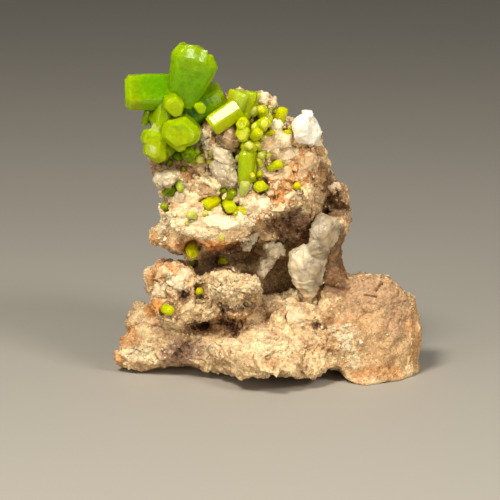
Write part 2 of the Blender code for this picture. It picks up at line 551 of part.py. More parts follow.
def single_crystal(tree, at, lean, sunk, proud, width):
    """One small crystal on the rock, found by a ray along the sight line."""
    start = placed(EYE)
    ray = placed(seen(at[0], at[1], 0.0)) - start
    hit = tree.ray_cast(start, ray.normalized())[0]
    spot = hit / MM + Vector((CENTRE_X, CENTRE_Y, 0.0))
    axis = (Vector((1.0, 0.0, 0.0)) * lean[0] + UP_SIGHT * lean[1] - SIGHT).normalized()
    return dict(foot=spot - axis * sunk, tip=spot + axis * proud, width=width, roll=SINGLE_ROLL)


def rock_tree(rock):
    """Search tree over the rock's faces, for rays."""
    form = bmesh.new()
    form.from_mesh(rock.data)
    tree = BVHTree.FromBMesh(form)
    form.free()
    return tree


def cut_sockets(thing, sockets):
    """Cut sockets, given as the corners of their hulls, out of a piece in one go."""
    form = bmesh.new()
    for points in sockets:
        form.from_mesh(hull_mesh("socket", points))
    mesh = bpy.data.meshes.new("sockets")
    form.to_mesh(mesh)
    form.free()
    cutter = bpy.data.objects.new("sockets", mesh)
    bpy.context.scene.collection.objects.link(cutter)
    cut(thing, cutter)
    keep_largest(thing)


def keep_largest(thing):
    """Drop loose crumbs that the cuts left, and keep the largest body."""
    form = bmesh.new()
    form.from_mesh(thing.data)
    left = set(form.verts)
    bodies = []
    while left:
        body = [left.pop()]
        for vertex in body:
            near = {edge.other_vert(vertex) for edge in vertex.link_edges} & left
            left -= near
            body.extend(near)
        bodies.append(body)
    bodies.sort(key=len)
    for body in bodies[:-1]:
        bmesh.ops.delete(form, geom=body, context="VERTS")
    form.to_mesh(thing.data)
    form.free()


def main():
    clear_scene()
    rock_material = make_material("matrix_rock", ROCK_FINISH)
    quartz_material = make_material("quartz", QUARTZ_FINISH)
    crystal_material = make_material("pyromorphite", CRYSTAL_FINISH)

    rock = build_rock(rock_material)
    tree = rock_tree(rock)

    groups = {
        "pyromorphite_main_cluster": traced_crystals(MAIN_CLUSTER),
        "pyromorphite_blade_group": traced_crystals(BLADE_GROUP),
        "pyromorphite_column": traced_crystals(COLUMN_GROUP),
        "pyromorphite_hollow_group": traced_crystals(HOLLOW_GROUP),
    }
    for name, single in SINGLES.items():
        groups[name] = [single_crystal(tree, **single)]
    for name, crystals in groups.items():
        united(name, [crystal_mesh(name, crystal) for crystal in crystals], crystal_material)
    sockets = [socket_points(**crystal) for crystals in groups.values() for crystal in crystals]

    quartz_sockets = []
    for name, hulls in QUARTZ.items():
        corners = [[seen(*corner) for corner in hull] for hull in hulls]
        block = united(name, [hull_mesh(name, points) for points in corners], quartz_material)
        cut_sockets(block, sockets)
        quartz_sockets += [grown_hull(points, SOCKET_GAP) for points in corners]
    cut_sockets(rock, sockets + quartz_sockets)


main()
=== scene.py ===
import math

import bmesh
import bpy
import numpy as np
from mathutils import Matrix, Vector
from mathutils.bvhtree import BVHTree


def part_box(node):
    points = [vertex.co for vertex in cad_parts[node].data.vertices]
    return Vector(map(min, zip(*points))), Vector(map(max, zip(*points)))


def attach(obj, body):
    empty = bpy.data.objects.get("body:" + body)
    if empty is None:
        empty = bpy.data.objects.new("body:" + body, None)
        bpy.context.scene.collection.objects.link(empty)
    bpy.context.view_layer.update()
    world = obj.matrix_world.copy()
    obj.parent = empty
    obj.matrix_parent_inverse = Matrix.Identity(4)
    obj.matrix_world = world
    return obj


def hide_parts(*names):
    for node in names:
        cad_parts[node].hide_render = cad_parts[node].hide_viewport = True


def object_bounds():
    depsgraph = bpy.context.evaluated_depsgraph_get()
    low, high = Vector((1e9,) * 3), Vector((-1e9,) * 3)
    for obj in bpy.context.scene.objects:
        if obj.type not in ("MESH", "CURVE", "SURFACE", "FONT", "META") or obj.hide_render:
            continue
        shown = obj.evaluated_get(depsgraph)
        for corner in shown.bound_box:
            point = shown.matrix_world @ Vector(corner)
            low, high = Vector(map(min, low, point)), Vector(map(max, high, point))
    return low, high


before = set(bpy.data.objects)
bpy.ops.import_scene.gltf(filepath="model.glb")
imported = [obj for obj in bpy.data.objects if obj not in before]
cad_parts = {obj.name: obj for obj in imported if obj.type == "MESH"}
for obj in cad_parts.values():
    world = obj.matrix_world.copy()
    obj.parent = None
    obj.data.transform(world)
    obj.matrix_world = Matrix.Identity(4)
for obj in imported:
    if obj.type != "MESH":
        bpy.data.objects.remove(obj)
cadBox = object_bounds()
mm = 0.001
print("frame loaded")


# The line of sight. Lengths are in mm, and a picture place is in pixels of a 500 by 500 picture.
view = {
    "lookDown": 12.0,          # degrees below level
    "distance": 400.0,         # from the eye to the plane that the pixels are measured on
    "aim": (-2.56, 5.59, 17.12),
    "pixel": 0.1466,           # mm that one pixel covers on that plane
    "middle": 250.0,
    "sensor": 36.0,
    "size": 500,
}
tilt = math.radians(view["lookDown"])
sight = np.array([0.0, math.cos(tilt), -math.sin(tilt)])
upSight = np.array([0.0, math.sin(tilt), math.cos(tilt)])
eye = np.array(view["aim"]) - sight * view["distance"]


def pixelOf(points):
    # where points show in the picture: each is carried along its line to the measuring plane
    line = points - eye
    scale = view["distance"] / (line @ sight) / view["pixel"]
    return view["middle"] + line[:, 0] * scale, view["middle"] - (line @ upSight) * scale


def lineThrough(u, v):
    # direction from the eye through a picture place
    across = (u - view["middle"]) * view["pixel"]
    up = (view["middle"] - v) * view["pixel"]
    line = sight * view["distance"] + upSight * up + np.array([across, 0.0, 0.0])
    return line / np.linalg.norm(line)


def seenPoint(u, v, depth):
    # point on the line through a picture place, at that depth in the part's own frame
    line = lineThrough(u, v)
    return eye + line * ((depth - eye[1]) / line[1])


def linear(text):
    # sRGB hex to linear light
    parts = [int(text[i:i + 2], 16) / 255.0 for i in (1, 3, 5)]
    return [p / 12.92 if p <= 0.04045 else ((p + 0.055) / 1.055) ** 2.4 for p in parts] + [1.0]


# Repeatable noise, worked out on whole arrays of points
mixing = {"primes": np.array([73856093, 19349663, 83492791]), "salt": 9176213,
          "first": 1274126177, "mask": 0xFFFFFF}


def hashed(cell, salt):
    # whole cell numbers mixed into a repeatable value from 0 to 1
    parts = cell * mixing["primes"]
    mixed = parts[..., 0] ^ parts[..., 1] ^ parts[..., 2] ^ (salt * mixing["salt"])
    mixed = (mixed ^ (mixed >> 13)) * mixing["first"]
    mixed = (mixed ^ (mixed >> 15)) * mixing["first"]
    return ((mixed ^ (mixed >> 16)) & mixing["mask"]) / float(mixing["mask"])


def smooth(low, high, value):
    # S-curve from 0 at low to 1 at high
    share = np.clip((value - low) / (high - low), 0.0, 1.0)
    return share * share * (3.0 - 2.0 * share)


def waves(points, size, salt):
    # smooth noise from -1 to 1: hashed values at a cell's corners, blended with an S-curve
    spot = points / size
    low = np.floor(spot).astype(np.int64)
    part = spot - low
    part = part * part * (3.0 - 2.0 * part)
    total = np.zeros(len(points))
    for corner in np.ndindex(2, 2, 2):
        weight = np.prod(np.where(np.array(corner, bool), part, 1.0 - part), axis=1)
        total += weight * hashed(low + np.array(corner), salt)
    return 2.0 * total - 1.0


def layered(points, size, salt, layers=4):
    # waves of halving size and height, added up
    total = np.zeros(len(points))
    for layer in range(layers):
        total += waves(points, size * 0.5 ** layer, salt + layer) * 0.5 ** layer
    return total


def cells(points, size, salt):
    # cell noise: one seed is scattered in each cell, and every point finds its nearest two
    spot = points / size
    low = np.floor(spot).astype(np.int64)
    first = np.full(len(points), 9.0)
    second = first.copy()
    owner = np.zeros((len(points), 3), np.int64)
    arm = np.zeros((len(points), 3))
    for step in np.ndindex(3, 3, 3):
        cell = low + np.array(step) - 1
        seed = np.stack([hashed(cell, salt + axis) for axis in range(3)], axis=1)
        away = spot - cell - seed
        far = np.einsum("ij,ij->i", away, away)
        closer = far < first
        second = np.where(closer, first, np.minimum(second, far))
        first = np.where(closer, far, first)
        owner[closer] = cell[closer]
        arm[closer] = away[closer]
    return {"gap": np.sqrt(second) - np.sqrt(first), "far": np.sqrt(first), "owner": owner, "arm": arm}


def chips(points, size, salt, slant=0.9):
    # broken faces: every cell is a flat chip with a height and a slope of its own, -0.5 to 0.5
    found = cells(points, size, salt)
    slope = np.stack([hashed(found["owner"], salt + 5 + axis) for axis in range(3)], axis=1) - 0.5
    height = hashed(found["owner"], salt + 9) - 0.5
    return height + slant * np.einsum("ij,ij->i", slope, found["arm"]), found["gap"]


def slants(points, size, salt, slant=0.9):
    # the heights of the chips alone
    return chips(points, size, salt, slant)[0]


def facets(points, size, salt):
    # low pyramids that meet in valleys, about -0.35 to 0.65: the gap between the squares of the two
    # nearest seeds' distances rises evenly away from every border
    found = cells(points, size, salt)
    return found["gap"] * (found["gap"] + 2.0 * found["far"]) - 0.35


def reliefOf(points, layers, salt):
    # height of a broken face: layers of (form, height, size, salt), added up
    return sum(high * form(points, size, salt + own) for form, high, size, own in layers)


def spots(u, v, marks):
    # share of a zone at each picture place: the strongest of its soft ellipses
    share = np.zeros(len(u))
    for markU, markV, reachU, reachV, strength in marks:
        far = np.hypot((u - markU) / reachU, (v - markV) / reachV)
        share = np.maximum(share, strength * (1.0 - smooth(0.75, 1.25, far)))
    return share


# Meshes
def readAll(items, key, width=3, kind=float):
    # one row of numbers for every item of a mesh
    flat = np.empty(len(items) * width, kind)
    items.foreach_get(key, flat)
    return flat.reshape(-1, width)


def pointsOf(mesh):
    return readAll(mesh.vertices, "co") / mm


def normalsOf(mesh):
    return readAll(mesh.vertex_normals, "vector")


def edgesOf(mesh):
    return readAll(mesh.edges, "vertices", 2, np.int32)


def setPoints(mesh, points):
    mesh.vertices.foreach_set("co", (points * mm).ravel())
    mesh.update()


def setShare(mesh, name, values):
    # a float attribute with one value to a vertex
    made = mesh.attributes.new(name, "FLOAT", "POINT")
    made.data.foreach_set("value", np.asarray(values, np.float32))


def meshFrom(name, points, faces):
    # a mesh from points in mm and faces that all have the same number of corners
    mesh = bpy.data.meshes.new(name)
    mesh.vertices.add(len(points))
    mesh.vertices.foreach_set("co", (np.asarray(points) * mm).ravel())
    mesh.loops.add(faces.size)
    mesh.loops.foreach_set("vertex_index", faces.ravel())
    mesh.polygons.add(len(faces))
    mesh.polygons.foreach_set("loop_start", np.arange(len(faces)) * faces.shape[1])
    mesh.update(calc_edges=True)
    return mesh


def linked(name, mesh):
    thing = bpy.data.objects.new(name, mesh)
    bpy.context.scene.collection.objects.link(thing)
    return thing


def baked(thing):
    # the object's mesh as its modifiers leave it; the object goes
    bpy.context.view_layer.update()
    graph = bpy.context.evaluated_depsgraph_get()
    mesh = bpy.data.meshes.new_from_object(thing.evaluated_get(graph))
    bpy.data.objects.remove(thing)
    return mesh


def nodeCopy(name):
    # merged copy of a CAD node's mesh: its own triangles are loose
    form = bmesh.new()
    form.from_mesh(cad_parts[name].data)
    bmesh.ops.remove_doubles(form, verts=form.verts, dist=0.002 * mm)
    mesh = bpy.data.meshes.new(name + "_copy")
    form.to_mesh(mesh)
    form.free()
    mesh.materials.clear()
    return mesh


def remeshed(mesh, voxel):
    thing = linked("remeshing", mesh)
    step = thing.modifiers.new("remesh", "REMESH")
    step.mode = "VOXEL"
    step.voxel_size = voxel * mm
    return baked(thing)


def thinned(mesh, triangles, wanted):
    # fewer triangles, taken first from where they are wanted least
    thing = linked("thinning", mesh)
    group = thing.vertex_groups.new(name="spare")
    for level in range(10):
        members = np.flatnonzero(np.floor((1.0 - wanted) * 9.999) == level)
        group.add(members.tolist(), (level + 1) / 10.0, "REPLACE")
    step = thing.modifiers.new("thin", "DECIMATE")
    step.vertex_group = "spare"
    step.ratio = min(1.0, triangles / (2.0 * len(mesh.polygons)))
    return baked(thing)


def relaxed(points, edges, times, share=0.5):
    # every point moves part of the way to the mean of its neighbours
    count = np.maximum(np.bincount(edges.ravel(), minlength=len(points)), 1)[:, None]
    near = np.concatenate([edges, edges[:, ::-1]])
    for _ in range(times):
        sums = [np.bincount(near[:, 0], points[near[:, 1], axis], len(points)) for axis in range(3)]
        points = points + share * (np.stack(sums, axis=1) / count - points)
    return points


def dipOf(mesh, points, times):
    # how far each point lies under the mean of the surface round it, along its normal
    return np.einsum("ij,ij->i", relaxed(points, edgesOf(mesh), times) - points, normalsOf(mesh))


def inBox(points, box=cadBox):
    low, high = (np.array(side) / mm for side in box)
    return np.clip(points, low, high)


def hullOf(points):
    # corners and triangles of the hull round scattered points
    cloud = bpy.data.meshes.new("cloud")
    cloud.vertices.add(len(points))
    cloud.vertices.foreach_set("co", points.ravel())
    form = bmesh.new()
    form.from_mesh(cloud)
    bmesh.ops.convex_hull(form, input=form.verts)
    bmesh.ops.delete(form, geom=[vert for vert in form.verts if not vert.link_faces], context="VERTS")
    form.to_mesh(cloud)
    form.free()
    corners, faces = readAll(cloud.vertices, "co"), readAll(cloud.loops, "vertex_index", 1, np.int32)
    bpy.data.meshes.remove(cloud)
    return corners, faces.reshape(-1, 3)


def joined(parts):
    # the corners and triangles of many parts as one array of each
    starts = np.cumsum([0] + [len(corners) for corners, _ in parts[:-1]])
    return (np.concatenate([corners for corners, _ in parts]),
            np.concatenate([faces + start for (_, faces), start in zip(parts, starts)]))


def addPiece(name, mesh, material, nodes=(), sharp=None):
    # one finished piece: at the origin, on the only body, with its finish
    mesh.name = name
    thing = linked(name, mesh)
    mesh.materials.clear()
    mesh.materials.append(material)
    mesh.shade_smooth()
    if sharp:
        mesh.set_sharp_from_angle(angle=math.radians(sharp))
    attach(thing, "root")
    if nodes:
        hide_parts(*nodes)
    return thing


# Materials. A finish names its colours, its patterns as (kind, size in mm, settings), the shares that
# its meshes bring, its coats as (source, limits, colour), its bump as (strength, depth in mm, sunk)
# and the shader's own values.
def addNode(tree, kind, inputs=None, **settings):
    made = tree.nodes.new("ShaderNode" + kind)
    for name, value in settings.items():
        setattr(made, name, value)
    for socket, value in (inputs or {}).items():
        if isinstance(value, bpy.types.NodeSocket):
            tree.links.new(value, made.inputs[socket])
        else:
            made.inputs[socket].default_value = value
    return made


def newMaterial(name, look):
    material = bpy.data.materials.new(name)
    material.use_nodes = True
    tree = material.node_tree
    shader = tree.nodes["Principled BSDF"]
    for socket, value in look["shader"].items():
        shader.inputs[socket].default_value = value
    place = addNode(tree, "TexCoord").outputs["Object"]
    pattern = {}
    for key, (kind, size, more) in look["patterns"].items():
        inputs = {"Vector": place, "Scale": 1.0 / (size * mm), **more}
        pattern[key] = addNode(tree, "Tex" + kind, inputs).outputs
    share = {key: addNode(tree, "Attribute", attribute_name=key).outputs["Fac"] for key in look["shares"]}
    return material, tree, shader, pattern, share


def coated(tree, look, source):
    # coats of colour, one over the other. A source is spread from its own limits to the least and most
    # that its coat covers; a coat with no colour makes what is below it lighter or darker.
    colour = linear(look["base"])
    for name, limits, hue in look["coats"]:
        cover = source[name]
        if limits:
            settings = dict(zip(("From Min", "From Max", "To Min", "To Max"), limits))
            cover = addNode(tree, "MapRange", {"Value": cover, **settings}).outputs[0]
        inputs = {0: cover, 6: colour, 7: linear(look[hue])} if hue else {0: 1.0, 6: colour, 7: cover}
        colour = addNode(tree, "Mix", inputs, data_type="RGBA",
                         blend_type="MIX" if hue else "MULTIPLY").outputs[2]
    return colour


def surfaced(tree, shader, look, colour, rough, relief):
    strength, depth, sunk = look["bump"]
    inputs = {"Strength": strength, "Distance": depth * mm, "Height": relief}
    bump = addNode(tree, "Bump", inputs, invert=sunk)
    for socket, value in (("Base Color", colour), ("Roughness", rough), ("Normal", bump.outputs[0])):
        tree.links.new(value, shader.inputs[socket])


rockFinish = {
    "base": "#EED09D", "tan": "#B89163", "pink": "#D9AE84", "white": "#ECD8AC", "orange": "#C77F36",
    # the brown colour is real brown rock and painted shade: it colours the brown zones and the painted shade
    # in dips
    "brown_and_shade": "#5E3A1A", "ash": "#A07C64", "dark": "#33200F",
    "patterns": {"patch": ("Noise", 2.6, {"Detail": 5.0}), "fine": ("Noise", 0.56, {"Detail": 3.0}),
                 "lump": ("Voronoi", 0.9, {}), "speck": ("Voronoi", 0.7, {}), "rust": ("Voronoi", 0.5, {}),
                 "grain": ("Voronoi", 0.30, {})},
    "shares": ("tan", "white", "stain", "ash", "brown_and_shade", "hollow"),
    "edges": {"tan": (0.70, 1.10), "white": (0.60, 1.05), "stain": (0.65, 1.15), "ash": (0.60, 1.10),
              "brown_and_shade": (0.55, 1.05)},          # share plus noise between which a zone comes in
    "coats": [("patch", (0.42, 0.62, 0.0, 1.0), "tan"), ("fine", (0.45, 0.75, 0.0, 0.6), "pink"),
              ("tan", None, "tan"), ("white", None, "white"), ("stain", None, "orange"),
              ("ash", None, "ash"), ("brown_and_shade", None, "brown_and_shade"), ("grain", (0.0, 1.0, 0.70, 1.22), None),
              ("lump", (0.0, 1.0, 0.88, 1.10), None), ("rust", (0.88, 0.94, 0.0, 0.22), "orange"),
              # the last coat, hollow, is painted shade in the dips, in the brown colour
              ("speck", (0.16, 0.10, 0.0, 0.75), "dark"), ("hollow", None, "brown_and_shade")],
    "rough": (0.5, 0.95),
    "bump": (0.8, 0.10, True),
    "shader": {"IOR": 1.5, "Subsurface Weight": 0.12, "Subsurface Radius": (1.0, 0.6, 0.35),
               "Subsurface Scale": 0.9 * mm},
}


def rockMaterial():
    # Altered quartz-feldspar rock: matt, sugary grains of quartz in pale clay, stained by iron.
    # The zones come as shares on the mesh, with painted shade in dips and in the brown of shaded recesses;
    # grain and specks are noise at their real size.
    look = rockFinish
    material, tree, shader, pattern, share = newMaterial("altered quartz rock", look)
    fine = pattern["fine"]["Fac"]
    split = {name: addNode(tree, "SeparateColor", {"Color": pattern[name]["Color"]}).outputs
             for name in ("grain", "lump", "rust")}
    source = {name: parts[0] for name, parts in split.items()}
    source.update(patch=pattern["patch"]["Fac"], fine=fine, speck=pattern["speck"]["Distance"],
                  hollow=share["hollow"])
    for name, (low, high) in look["edges"].items():
        broken = addNode(tree, "Math", {0: fine, 1: share[name]}, operation="ADD")
        edge = addNode(tree, "MapRange", {"Value": broken.outputs[0], "From Min": low, "From Max": high},
                       interpolation_type="SMOOTHSTEP")
        zone = addNode(tree, "Math", {0: edge.outputs[0], 1: share[name]}, operation="MULTIPLY",
                       use_clamp=True)
        source[name] = zone.outputs[0]
    matt, mattest = look["rough"]
    rough = addNode(tree, "MapRange", {"Value": split["grain"][1], "To Min": matt, "To Max": mattest})
    relief = addNode(tree, "Math", {0: pattern["grain"]["Distance"], 1: fine}, operation="SUBTRACT")
    surfaced(tree, shader, look, coated(tree, look, source), rough.outputs[0], relief.outputs[0])
    return material


quartzFinish = {
    # the grey colour stands both for grey quartz and for painted shade, darkened for the shaded slab and
    # blocks
    "base": "#F2E2BE", "white": "#F2EEE4", "grey_and_shade": "#6E5F48", "orange": "#D6A05A", "dark": "#4C3518",
    "patterns": {"cloud": ("Noise", 1.3, {"Detail": 4.0}), "flaw": ("Noise", 0.45, {"Detail": 3.0})},
    "shares": ("grey_and_shade", "stain", "hollow"),
    "drawn": {"grey_and_shade": ("cloud", (0.40, 0.70, 0.3), "ADD"), "stain": ("flaw", (0.58, 0.74, 0.4), "MAXIMUM")},
    # the hollow coat is painted shade in dips, in the dark colour
    "coats": [("grey_and_shade", None, "grey_and_shade"), ("stain", None, "orange"), ("hollow", None, "dark"),
              ("whiter", (0.0, -1.0, 0.0, 1.0), "white")],        # a grey below nothing is whiter
    "rough": (0.15, 0.60),
    "bump": (0.8, 0.12, False),
    "shader": {"IOR": 1.54, "Subsurface Weight": 0.5, "Subsurface Radius": (1.0, 0.8, 0.6),
               "Subsurface Scale": 1.0 * mm},
}


def quartzMaterial():
    # Milky quartz, broken: cloudy inside, so light goes in and comes back soft; glassy chips on it. Its grey
    # is partly painted shade, and painted shade darkens its dips.
    look = quartzFinish
    material, tree, shader, pattern, share = newMaterial("milky quartz", look)
    flaw = pattern["flaw"]["Fac"]
    source = {"hollow": share["hollow"], "whiter": share["grey_and_shade"]}
    for name, (origin, (low, high, most), operation) in look["drawn"].items():
        inputs = {"Value": pattern[origin]["Fac"], "From Min": low, "From Max": high, "To Max": most}
        drawn = addNode(tree, "MapRange", inputs)
        both = addNode(tree, "Math", {0: drawn.outputs[0], 1: share[name]}, operation=operation,
                       use_clamp=True)
        source[name] = both.outputs[0]
    glassy, matt = look["rough"]
    rough = addNode(tree, "MapRange", {"Value": flaw, "To Min": glassy, "To Max": matt})
    surfaced(tree, shader, look, coated(tree, look, source), rough.outputs[0], flaw)
    return material


crystalFinish = {
    "base": "#4A8400", "leaf": "#689A00", "glow_and_yellow": "#92AC04", "yellow": "#BCB800", "amber": "#A67C02",
    "pale": "#C2C290", "shade": "#3A4E02",
    "patterns": {"veil": ("Noise", 1.5, {"Detail": 4.0, "Distortion": 0.6}),
                 "fleck": ("Noise", 0.42, {"Detail": 3.0})},
    "shares": ("edge", "tint", "amber", "shade", "pale", "polish"),
    # the edge coat is a glow, partly painted light and partly real yellower rims
    "coats": [("veil", (0.28, 0.74, 0.0, 1.0), "leaf"), ("tint", None, "yellow"), ("edge", None, "glow_and_yellow"),
              ("amber", None, "amber"), ("shade", None, "shade"), ("pale", None, "pale"),
              ("fleck", (0.35, 0.70, 0.94, 1.16), None)],
    "rough": (0.04, 0.22), "polished": 0.15,
    "bump": (0.35, 0.08, False),
    "shader": {"IOR": 1.6, "Specular IOR Level": 0.15, "Subsurface Weight": 0.8,
               "Subsurface Radius": (0.9, 1.4, 0.25), "Subsurface Scale": 2.0 * mm},
}


def crystalMaterial():
    # Pyromorphite, a lead phosphate: resinous lustre, green that is deep in the core and yellower at edges
    # and ends, partly real and partly a painted glow, lower sides painted lighter; light carried through the
    # whole crystal.
    look = crystalFinish
    material, tree, shader, pattern, share = newMaterial("pyromorphite", look)
    fleck = pattern["fleck"]["Fac"]
    source = {**share, "veil": pattern["veil"]["Fac"], "fleck": fleck}
    dull = addNode(tree, "MapRange", {"Value": share["polish"], "To Min": 1.0, "To Max": look["polished"]})
    glassy, matt = look["rough"]
    rough = addNode(tree, "MapRange", {"Value": fleck, "From Min": 0.3, "From Max": 0.7,
                                       "To Min": glassy, "To Max": matt})
    rough, relief = (addNode(tree, "Math", {0: value, 1: dull.outputs[0]}, operation="MULTIPLY").outputs[0]
                     for value in (rough.outputs[0], fleck))
    surfaced(tree, shader, look, coated(tree, look, source), rough, relief)
    return material


# Floor and lights; places in mm
stage = {
    "floorSize": 4000.0, "world": (1.0, 0.95, 0.88), "worldStrength": 0.115,
    "lights": {
        "key": dict(place=(-125, -215, 330), size=105.0, watts=1.52, colour=(1.0, 0.95, 0.86)),
        "right": dict(place=(200, -230, 230), size=100.0, watts=0.74, colour=(1.0, 0.95, 0.88)),
        "side": dict(place=(-250, -330, 150), size=150.0, watts=0.36, colour=(1.0, 0.94, 0.84)),
        "front": dict(place=(150, -400, 45), size=150.0, watts=0.40, colour=(1.0, 0.92, 0.80)),
    },
    "aimAt": (0.0, 0.0, 25.0),
}

# A plain matt board, pale grey and hardly mottled
floorFinish = {
    "base": "#ABA69C", "patterns": {"mottle": ("Noise", 60.0, {})}, "shares": (),
    "coats": [("mottle", (0.0, 1.0, 0.97, 1.0), None)], "shader": {"Roughness": 0.7},
}


# The rock. Zones are (u, v, reach across, reach up, strength) in picture pixels.
rock = {
    "voxel": 0.21,
    "triangles": 188000,
    "backStart": 3.0, "backEnd": 8.0,     # depths between which the picture's zones fade out
    "backDetail": 0.3,                    # how much of the front's detail the back keeps
    "wander": 7.0, "wanderSize": 2.4,     # pixels that a zone's edge wanders by, and over how many mm
    "inward": 0.16,
    "calmLess": 0.75,                     # how much of the relief goes where it is calm
    # painted shade in dips: how dark it is everywhere, how much darker on the front, and how much less where
    # the rock is white
    "hollowShade": 0.35, "hollowFront": 0.4, "hollowWhite": 0.6,
    "sizes": {"wave": 3.2, "plane": 6.5, "large": 3.4, "middle": 1.3, "small": 0.55, "seam": 3.1,
              "hole": 1.1, "sugar": 0.95, "sugarFine": 0.42, "tooth": 0.42},                    # mm
    "heights": {"wave": 0.30, "plane": 1.0, "large": 0.80, "middle": 0.36, "small": 0.15, "seam": 0.28,
                "hole": 0.8, "sugar": 0.30, "sugarFine": 0.14, "tooth": 0.06},                  # mm
    # hollows end in a depth in mm, cracks run from one place to another and end in a depth in mm, and
    # back zones are noise as (size in mm, low, high, most, salt)
    "hollows": [(283, 276, 11, 11, 3.2), (232, 258, 26, 8, 2.6), (218, 262, 14, 6, 1.5),
                (198, 325, 12, 4, 1.8), (225, 320, 7, 4, 1.4), (235, 331, 3.5, 5, 1.4),
                (334, 206, 9, 5, 1.6), (184, 295, 5, 4, 1.2), (317, 326, 2.6, 4, 1.0),
                (198, 113, 11, 9, 1.2), (275, 197, 4, 4, 0.8)],
    "zones": {
        "stain": [(275, 198, 11, 9, 0.75), (288, 178, 22, 9, 0.85), (297, 162, 7, 16, 0.8),
                  (266, 220, 12, 6, 0.7), (262, 190, 8, 6, 0.5), (298, 176, 10, 8, 0.6),
                  (283, 197, 10, 11, 0.9), (272, 214, 12, 8, 0.6), (222, 246, 30, 6, 0.9),
                  (304, 150, 9, 15, 0.5), (128, 342, 16, 9, 0.7), (157, 309, 13, 8, 0.85),
                  (163, 272, 12, 10, 0.65), (180, 280, 10, 8, 0.55), (186, 244, 14, 7, 0.85),
                  (222, 248, 28, 5, 0.75), (160, 242, 11, 11, 0.65), (190, 176, 9, 6, 0.8),
                  (330, 190, 8, 10, 0.45), (258, 360, 16, 9, 0.4), (240, 331, 24, 6, 0.4),
                  (372, 374, 34, 6, 0.5), (415, 340, 7, 30, 0.45), (118, 360, 7, 9, 0.6),
                  (292, 262, 8, 10, 0.4), (336, 262, 10, 26, 0.25), (230, 318, 20, 6, 0.5),
                  (345, 322, 14, 10, 0.4), (213, 340, 10, 8, 0.4)],
        # brown zones are partly real brown rock and partly painted shade: the recesses, the rock under the
        # crystals and the column's shaded side
        "brown_and_shade": [(293, 229, 29, 16, 0.95), (232, 258, 34, 11, 0.95), (283, 276, 18, 17, 1.0),
                  (262, 302, 22, 16, 0.5), (334, 208, 17, 13, 0.75), (333, 182, 14, 22, 0.9),
                  (238, 309, 20, 5, 0.8), (336, 262, 14, 38, 0.85), (170, 166, 22, 8, 0.75),
                  (198, 113, 15, 12, 0.85), (199, 326, 12, 4, 0.9), (225, 320, 7, 4, 0.9),
                  (236, 331, 5, 7, 0.9), (184, 295, 7, 6, 0.8), (317, 326, 4, 5, 0.8),
                  (248, 315, 18, 10, 0.2), (150, 150, 8, 20, 0.5)],
        "ash": [(185, 351, 23, 14, 0.9), (376, 289, 46, 17, 0.5), (350, 300, 20, 22, 0.4),
                (396, 312, 16, 32, 0.5), (330, 285, 10, 22, 0.4), (332, 178, 14, 16, 0.4)],
        "white": [(208, 222, 52, 18, 0.35), (222, 172, 34, 28, 0.75), (270, 215, 34, 10, 0.75),
                  (262, 150, 34, 34, 0.7), (180, 184, 30, 14, 0.6), (290, 192, 16, 13, 0.6),
                  (338, 330, 8, 8, 0.6), (347, 342, 9, 10, 0.75), (355, 355, 8, 8, 0.55),
                  (300, 318, 20, 17, 0.35), (286, 295, 18, 9, 0.5), (168, 286, 16, 9, 0.5),
                  (306, 128, 16, 16, 0.6), (285, 140, 30, 25, 0.55), (165, 216, 14, 11, 0.7),
                  (232, 290, 26, 14, 0.5), (245, 345, 60, 14, 0.35), (140, 350, 20, 12, 0.8),
                  (272, 150, 14, 14, 0.9), (200, 148, 14, 14, 0.5)],
        "tan": [(376, 330, 52, 54, 0.8), (376, 292, 46, 18, 0.9), (312, 165, 10, 26, 0.7),
                (300, 316, 18, 13, 1.0), (335, 275, 14, 40, 0.6)],
        "sponge": [(238, 300, 30, 24, 1.0), (286, 226, 34, 19, 0.8), (215, 300, 16, 14, 0.7),
                   (300, 340, 50, 22, 0.4), (160, 350, 44, 16, 0.35)],
        "calm": [(208, 222, 50, 16, 0.85), (300, 318, 18, 15, 0.95), (187, 352, 17, 11, 0.8),
                 (378, 332, 54, 60, 0.9), (335, 270, 14, 40, 0.7), (150, 345, 40, 26, 0.6),
                 (240, 350, 60, 22, 0.55)],
        "planar": [(150, 345, 46, 24, 1.0), (172, 280, 24, 18, 0.9), (312, 160, 18, 30, 0.9),
                   (200, 172, 40, 30, 0.6)],
    },
    "backZones": {"stain": (7.0, 0.15, 0.8, 0.7, 31), "brown_and_shade": (9.0, 0.2, 0.9, 0.6, 41),
                  "white": (6.0, 0.1, 0.9, 0.6, 51), "tan": (11.0, -0.4, 0.4, 0.7, 61)},
    "cracks": [((383, 283), (376, 291), 0.7), ((366, 297), (376, 298), 0.6),
               ((394, 301), (399, 291), 0.5), ((256, 345), (252, 362), 0.8),
               ((252, 362), (258, 374), 0.8), ((210, 338), (222, 346), 0.6),
               ((150, 326), (180, 331), 0.5)],
}


def crackDepth(u, v):
    # how far points sink into the cracks: most on the line, none past a pixel and a half from it
    sink = np.zeros(len(u))
    for start, end, depth in rock["cracks"]:
        along = np.subtract(end, start)
        share = ((u - start[0]) * along[0] + (v - start[1]) * along[1]) / (along @ along)
        share = np.clip(share, 0.0, 1.0)
        far = np.hypot(u - start[0] - share * along[0], v - start[1] - share * along[1])
        sink = np.maximum(sink, depth * np.exp(-(far / 1.3) ** 2))
    return sink


def frontShare(points):
    return 1.0 - smooth(rock["backStart"], rock["backEnd"], points[:, 1])


def rockZones(points):
    # every zone's share at each point; behind the rock the zones fade, and noise takes over
    u, v = pixelOf(points)
    u = u + rock["wander"] * layered(points, rock["wanderSize"], 11)
    v = v + rock["wander"] * layered(points, rock["wanderSize"], 21)
    front = frontShare(points)
    shares = {name: spots(u, v, marks) * front for name, marks in rock["zones"].items()}
    for name, (size, low, high, most, salt) in rock["backZones"].items():
        shares[name] += (1.0 - front) * smooth(low, high, layered(points, size, salt)) * most
    shares["planar"] += 1.0 - front
    return shares


